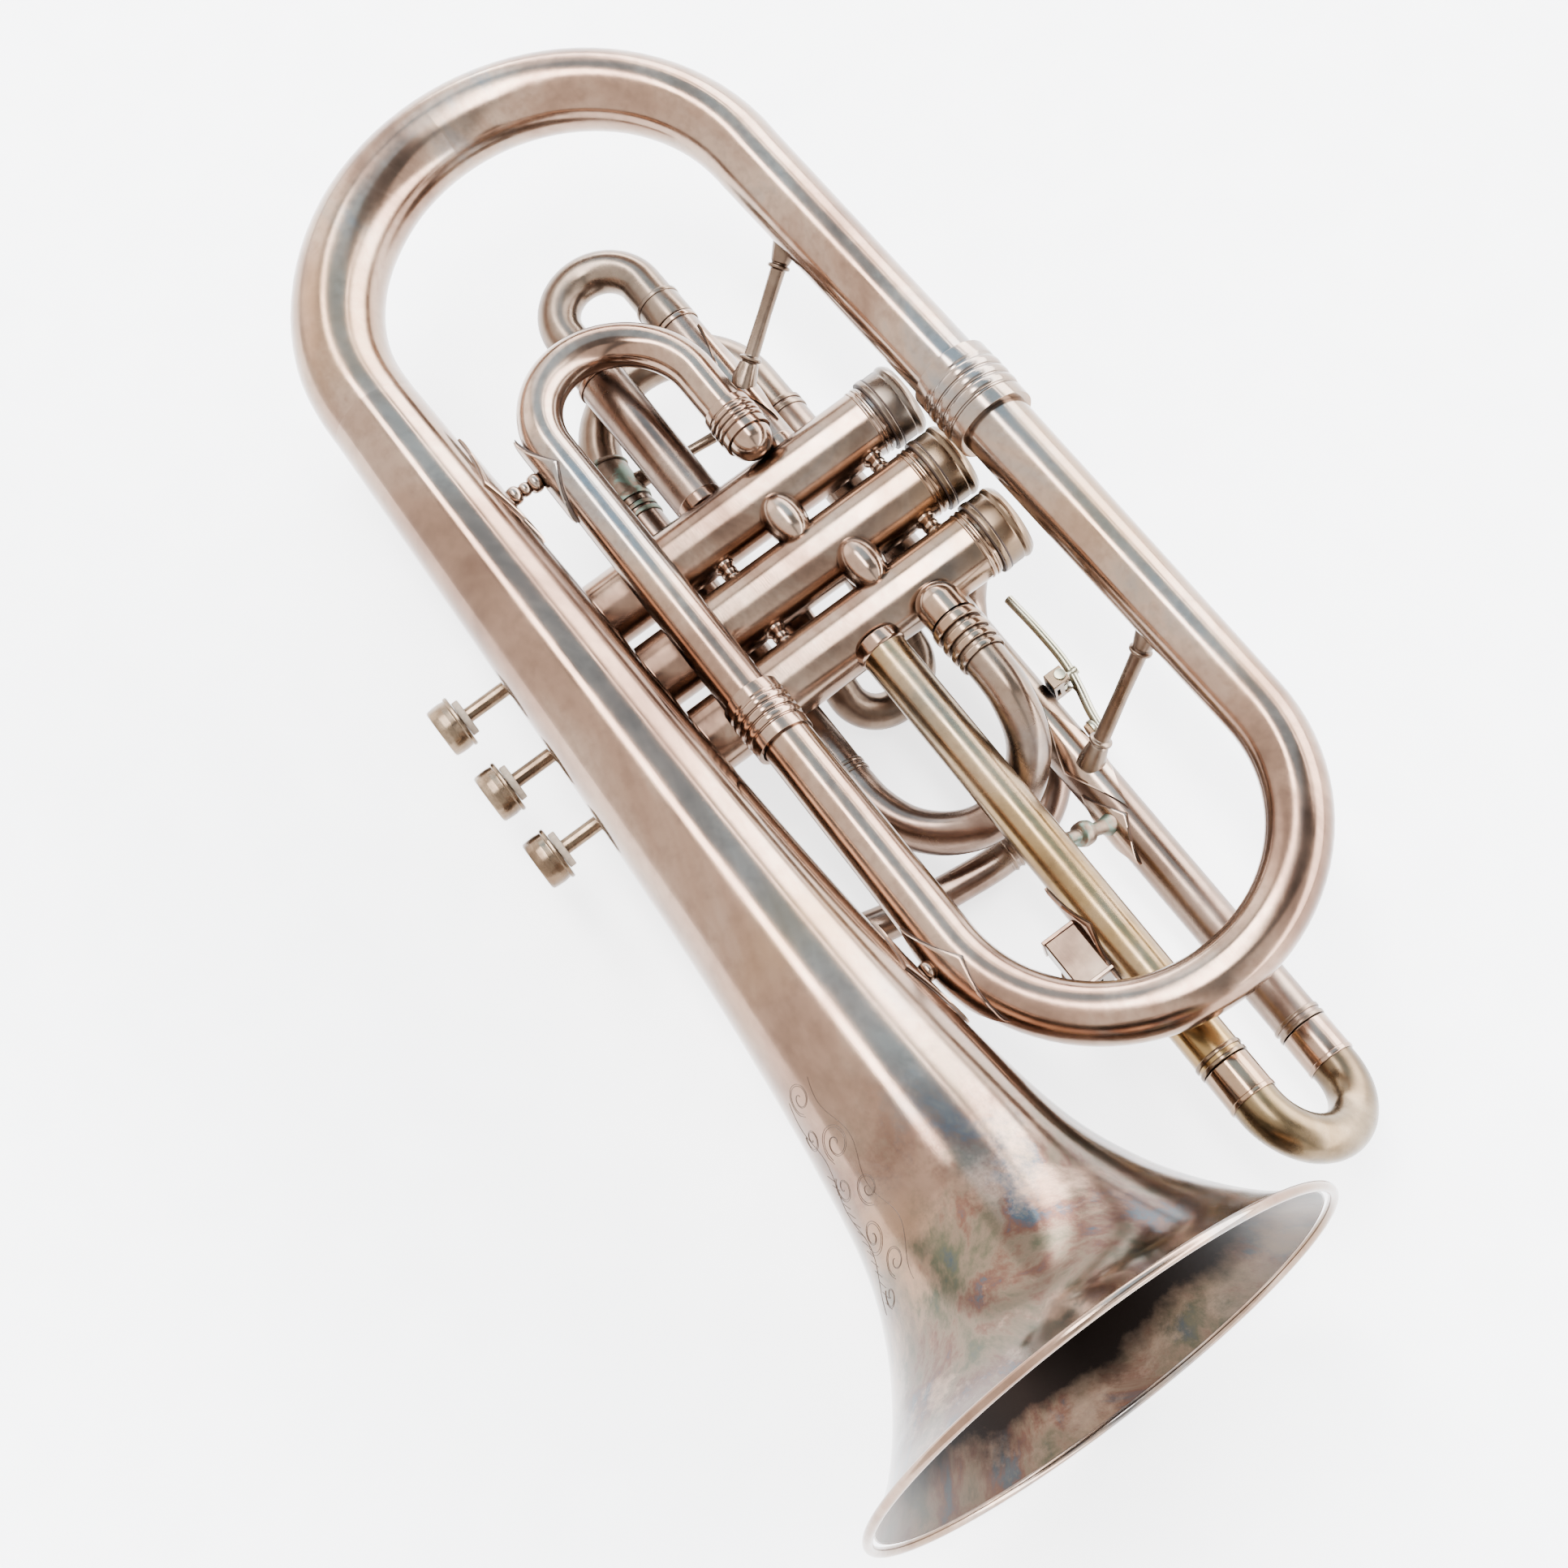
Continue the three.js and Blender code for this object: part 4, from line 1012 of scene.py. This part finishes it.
def bevelled(obj, width):
    modifier = obj.modifiers.new("bevel", "BEVEL")
    modifier.width = width * MM
    modifier.segments = 3
    modifier.limit_method = "ANGLE"


def lyre_socket():
    mesh = slotted_box(127, 144, (-5.8, 4.2, -4, 5), (-3.9, 0.7, -2.2, 3.2))
    bevelled(plate("lyre_box", mesh, BROWN, "lyre_socket"), 0.45)
    for n, x in enumerate((127.1, 142.7), 1):
        lip = slotted_box(x, x + 1.2, (-6.2, 4.6, -4.4, 5.4), (-3.9, 0.7, -2.2, 3.2))
        bevelled(plate(f"lyre_box_lip_{n}", lip, SILVER), 0.25)
    start = at(135.5, -1.6, 0.4)
    screw = [(0, -10.8), (4.3, -10.8), (4.8, -10.3), (4.8, -9), (4.3, -8.6), (2, -8.4), (1.5, -8), (1.5, -3.1),
             (0, -3.1)]
    mesh = turned(screw, start, start + at(0, 0, 1), sides=96, bevel=0.2, ridges=(-10.4, -8.9, 0.2))
    piece("lyre_screw_turned", mesh, "thumb_screw", BROWN, "dark_brass", "lyre_thumb_screw")


def water_key():
    x, y, z = 65.5, 45.4, -15
    mesh = merged(slotted_box(x - 2.5, x + 2.5, (41.6, 44.8, z - 4.5, z + 4.5), (42.4, 43.4, z - 1.8, z + 1.8)),
                  *[slotted_box(x - 2.5, x + 2.5, (44.4, 47, z + s * 3.4 - 0.9, z + s * 3.4 + 0.9),
                                (45.2, 46, z + s * 3.4 - 0.3, z + s * 3.4 + 0.3)) for s in (-1, 1)])
    bevelled(piece("key_saddle", mesh, "horn", BROWN, "dark_brass", "water_key_saddle"), 0.25)
    pin = [(0, -5), (1.6, -5), (1.6, -4.2), (1.1, -4.1), (1.1, 4.1), (1.6, 4.2), (1.6, 5), (0, 5)]
    piece("key_pin", turned(pin, at(x, y, z), at(x, y, z + 1), sides=24, bevel=0.15), "horn", STEEL, "dark_brass")
    path = curve([at(37, 49, z), at(50, 49.6, z), at(62, 49.4, z), at(70, 48, z), at(78, 46, z),
                  at(84.5, 45, z)], 8)
    widths = [1.5 - 0.5 * math.sin(math.pi * k / (len(path) - 1)) for k in range(len(path))]
    arm = flat_bar(path, widths, 1.35)
    eye = turned([(1.25, -1.5), (2.4, -1.5), (2.4, 1.5), (1.25, 1.5), (1.25, -1.5)], at(x, y, z), at(x, y, z + 1),
                 sides=32, bevel=0.2)
    web = turned([(0, 0), (1.3, 0), (1.2, 2), (1.3, 3.4), (0, 3.4)], at(x, y + 2, z), at(x, y + 3, z), sides=16)
    cup = turned([(0, 0), (3, 0), (3, 1.4), (1.6, 2.4), (0, 2.6)], at(82, 43, z - 1), at(82, 44, z - 1), sides=40,
                 bevel=0.3)
    piece("key_lever", merged(arm, eye, web, cup), "water_key", STEEL, "steel", "water_key_lever")
    pad = [(0, 0), (2.5, 0), (2.5, 1.2), (0, 1.2)]
    piece("key_cork", turned(pad, at(82, 42, z - 1), at(82, 43, z - 1), sides=32), "water_key", CORK, "steel")
    coil = [at(x + 1.9 * math.cos(t * 0.5), y + 1.9 * math.sin(t * 0.5), z - 2.9 + 0.11 * t) for t in range(0, 12)]
    coil += [at(x + 3 + 1.6 * k, y + 1.5 + 0.2 * k, z - 1.5) for k in range(5)]
    piece("key_wire_spring", rod_along(coil, 0.32), "horn", STEEL, "dark_brass")


bell()
main_tubing()
ferrule("back_ferrule", -8, 12.4, BACK_END_Y, BACK_Z, 9.5, 12, "ferrule_back_tube")
ferrule("return_ferrule", 32.6, 48.8, -26.9, RETURN_Z, 7, 8.7, "ferrule_return_tube")
ferrule("small_bow_ferrule", -47.6, -36.4, ELBOW_1.y, ELBOW_1.z, 5.9, 7.4, "ferrule_small_bow")
dome_elbow("dome_1", ELBOW_1, 6.3, -36, "dome_elbow_valve_1")
dome_elbow("dome_3", ELBOW_3, 6.6, 37.4, "dome_elbow_valve_3")
for number in (1, 2, 3):
    valve(number)
between_valves()
first_slide()
second_slide()
third_slide()
tuning_slide()
mouthpipe()
braces()
plates()
scrollwork()
lyre_socket()
water_key()

for name, obj in frame["nodes"].items():
    if name.startswith(("piston", "valve_spring")):
        obj.data.materials[0] = STEEL


# Studio

FLOOR_HALF = 4
FLOOR_GLOW = 2.4


def floor():
    data = bpy.data.meshes.new("floor")
    corners = [(x * FLOOR_HALF, y * FLOOR_HALF, 0) for x, y in ((-1, -1), (1, -1), (1, 1), (-1, 1))]
    data.from_pydata(corners, [], [(0, 1, 2, 3)])
    made, nodes, position = material("paper_floor")
    grain = nodes.noise(position, 60, 3)
    colour = nodes.ramp(grain, [(0.3, (0.86, 0.86, 0.87)), (0.7, (0.90, 0.90, 0.91))])
    finish(nodes, Base_Color=colour, Roughness=0.75, Emission_Color=colour, Emission_Strength=FLOOR_GLOW)
    data.materials.append(made)
    obj = bpy.data.objects.new("floor", data)
    bpy.context.scene.collection.objects.link(obj)


def between(nodes, value, low, high, soft):
    """1 between low and high, fading to 0 over soft on either side."""
    rise = nodes.add("ShaderNodeMapRange", {"Value": value, 1: low - soft, 2: low + soft, 3: 0.0, 4: 1.0},
                     interpolation_type="SMOOTHSTEP").outputs[0]
    fall = nodes.add("ShaderNodeMapRange", {"Value": value, 1: high - soft, 2: high + soft, 3: 1.0, 4: 0.0},
                     interpolation_type="SMOOTHSTEP").outputs[0]
    return nodes.math("MULTIPLY", rise, fall)


# Soft lights all round: (angle from +Y over the top towards -Y in degrees, low and high), edge softness,
# (reach along X, low and high), strength and colour.
SOFT_LIGHTS = [
    ((-20, 33), 5, (-1.2, 1.2), 24, (1, 1, 1)),
    ((39.4, 41.8), 1, (-0.95, 0.2), 26, (1, 1, 1)),
    ((83.5, 92.5), 2, (-0.62, 0.2), 42, (1, 1, 1)),
    ((97, 200), 6, (-1.2, 1.2), 2.6, (1, 0.96, 0.91)),
    ((20, 160), 10, (-1.2, -0.74), 3, (1, 0.97, 0.94)),
    ((43, 82), 3, (-0.9, -0.1), 2.0, (0.45, 0.85, 1.25)),
    ((20, 80), 8, (0.45, 1.2), 2.2, (1, 0.98, 0.96))]
REACH_SOFTNESS = 0.06
SHADE = (0.55, 0.62, 0.68)
HORIZON = (3.6, 3.6, 3.6)
HORIZON_BAND = (-0.3, 0.07, 0.03)


def world():
    made = bpy.data.worlds.new("studio")
    bpy.context.scene.world = made
    made.use_nodes = True
    made.node_tree.nodes.clear()
    nodes = Nodes(made.node_tree)
    toward = nodes.add("ShaderNodeTexCoord").outputs["Generated"]
    x, y, z = nodes.add("ShaderNodeSeparateXYZ", {"Vector": toward}).outputs
    angle = nodes.math("MULTIPLY", nodes.math("ARCTAN2", z, y), 180 / math.pi)
    total = nodes.mix(0.0, SHADE, SHADE)
    for (low_a, high_a), soft, (low_x, high_x), strength, colour in SOFT_LIGHTS:
        across = between(nodes, angle, low_a, high_a, soft)
        lit = nodes.math("MULTIPLY", across, between(nodes, x, low_x, high_x, REACH_SOFTNESS))
        glow = nodes.mix(lit, (0.0, 0.0, 0.0), tuple(strength * c for c in colour))
        total = nodes.mix(1.0, total, glow, "ADD")
    total = nodes.mix(between(nodes, z, *HORIZON_BAND), total, HORIZON)
    shader = nodes.add("ShaderNodeBackground", {"Color": total, "Strength": 1.0})
    nodes.add("ShaderNodeOutputWorld", {"Surface": shader.outputs[0]})


LENS, SENSOR = 63.95, 36
CAMERA_PLACE = at(332.07, -83.14, 682.84)
CAMERA_RIGHT = Vector((0.57083, 0.80157, -0.17787))
CAMERA_UP = Vector((-0.72600, 0.59394, 0.34665))


def camera():
    data = bpy.data.cameras.new("camera")
    data.lens = LENS
    data.sensor_width = SENSOR
    data.clip_start = 0.05
    data.clip_end = 20
    obj = bpy.data.objects.new("camera", data)
    axes = Matrix((CAMERA_RIGHT, CAMERA_UP, CAMERA_RIGHT.cross(CAMERA_UP)))
    obj.matrix_world = axes.transposed().to_4x4()
    obj.location = ORIGIN + CAMERA_PLACE * MM
    bpy.context.scene.collection.objects.link(obj)
    bpy.context.scene.camera = obj


floor()
world()
camera()
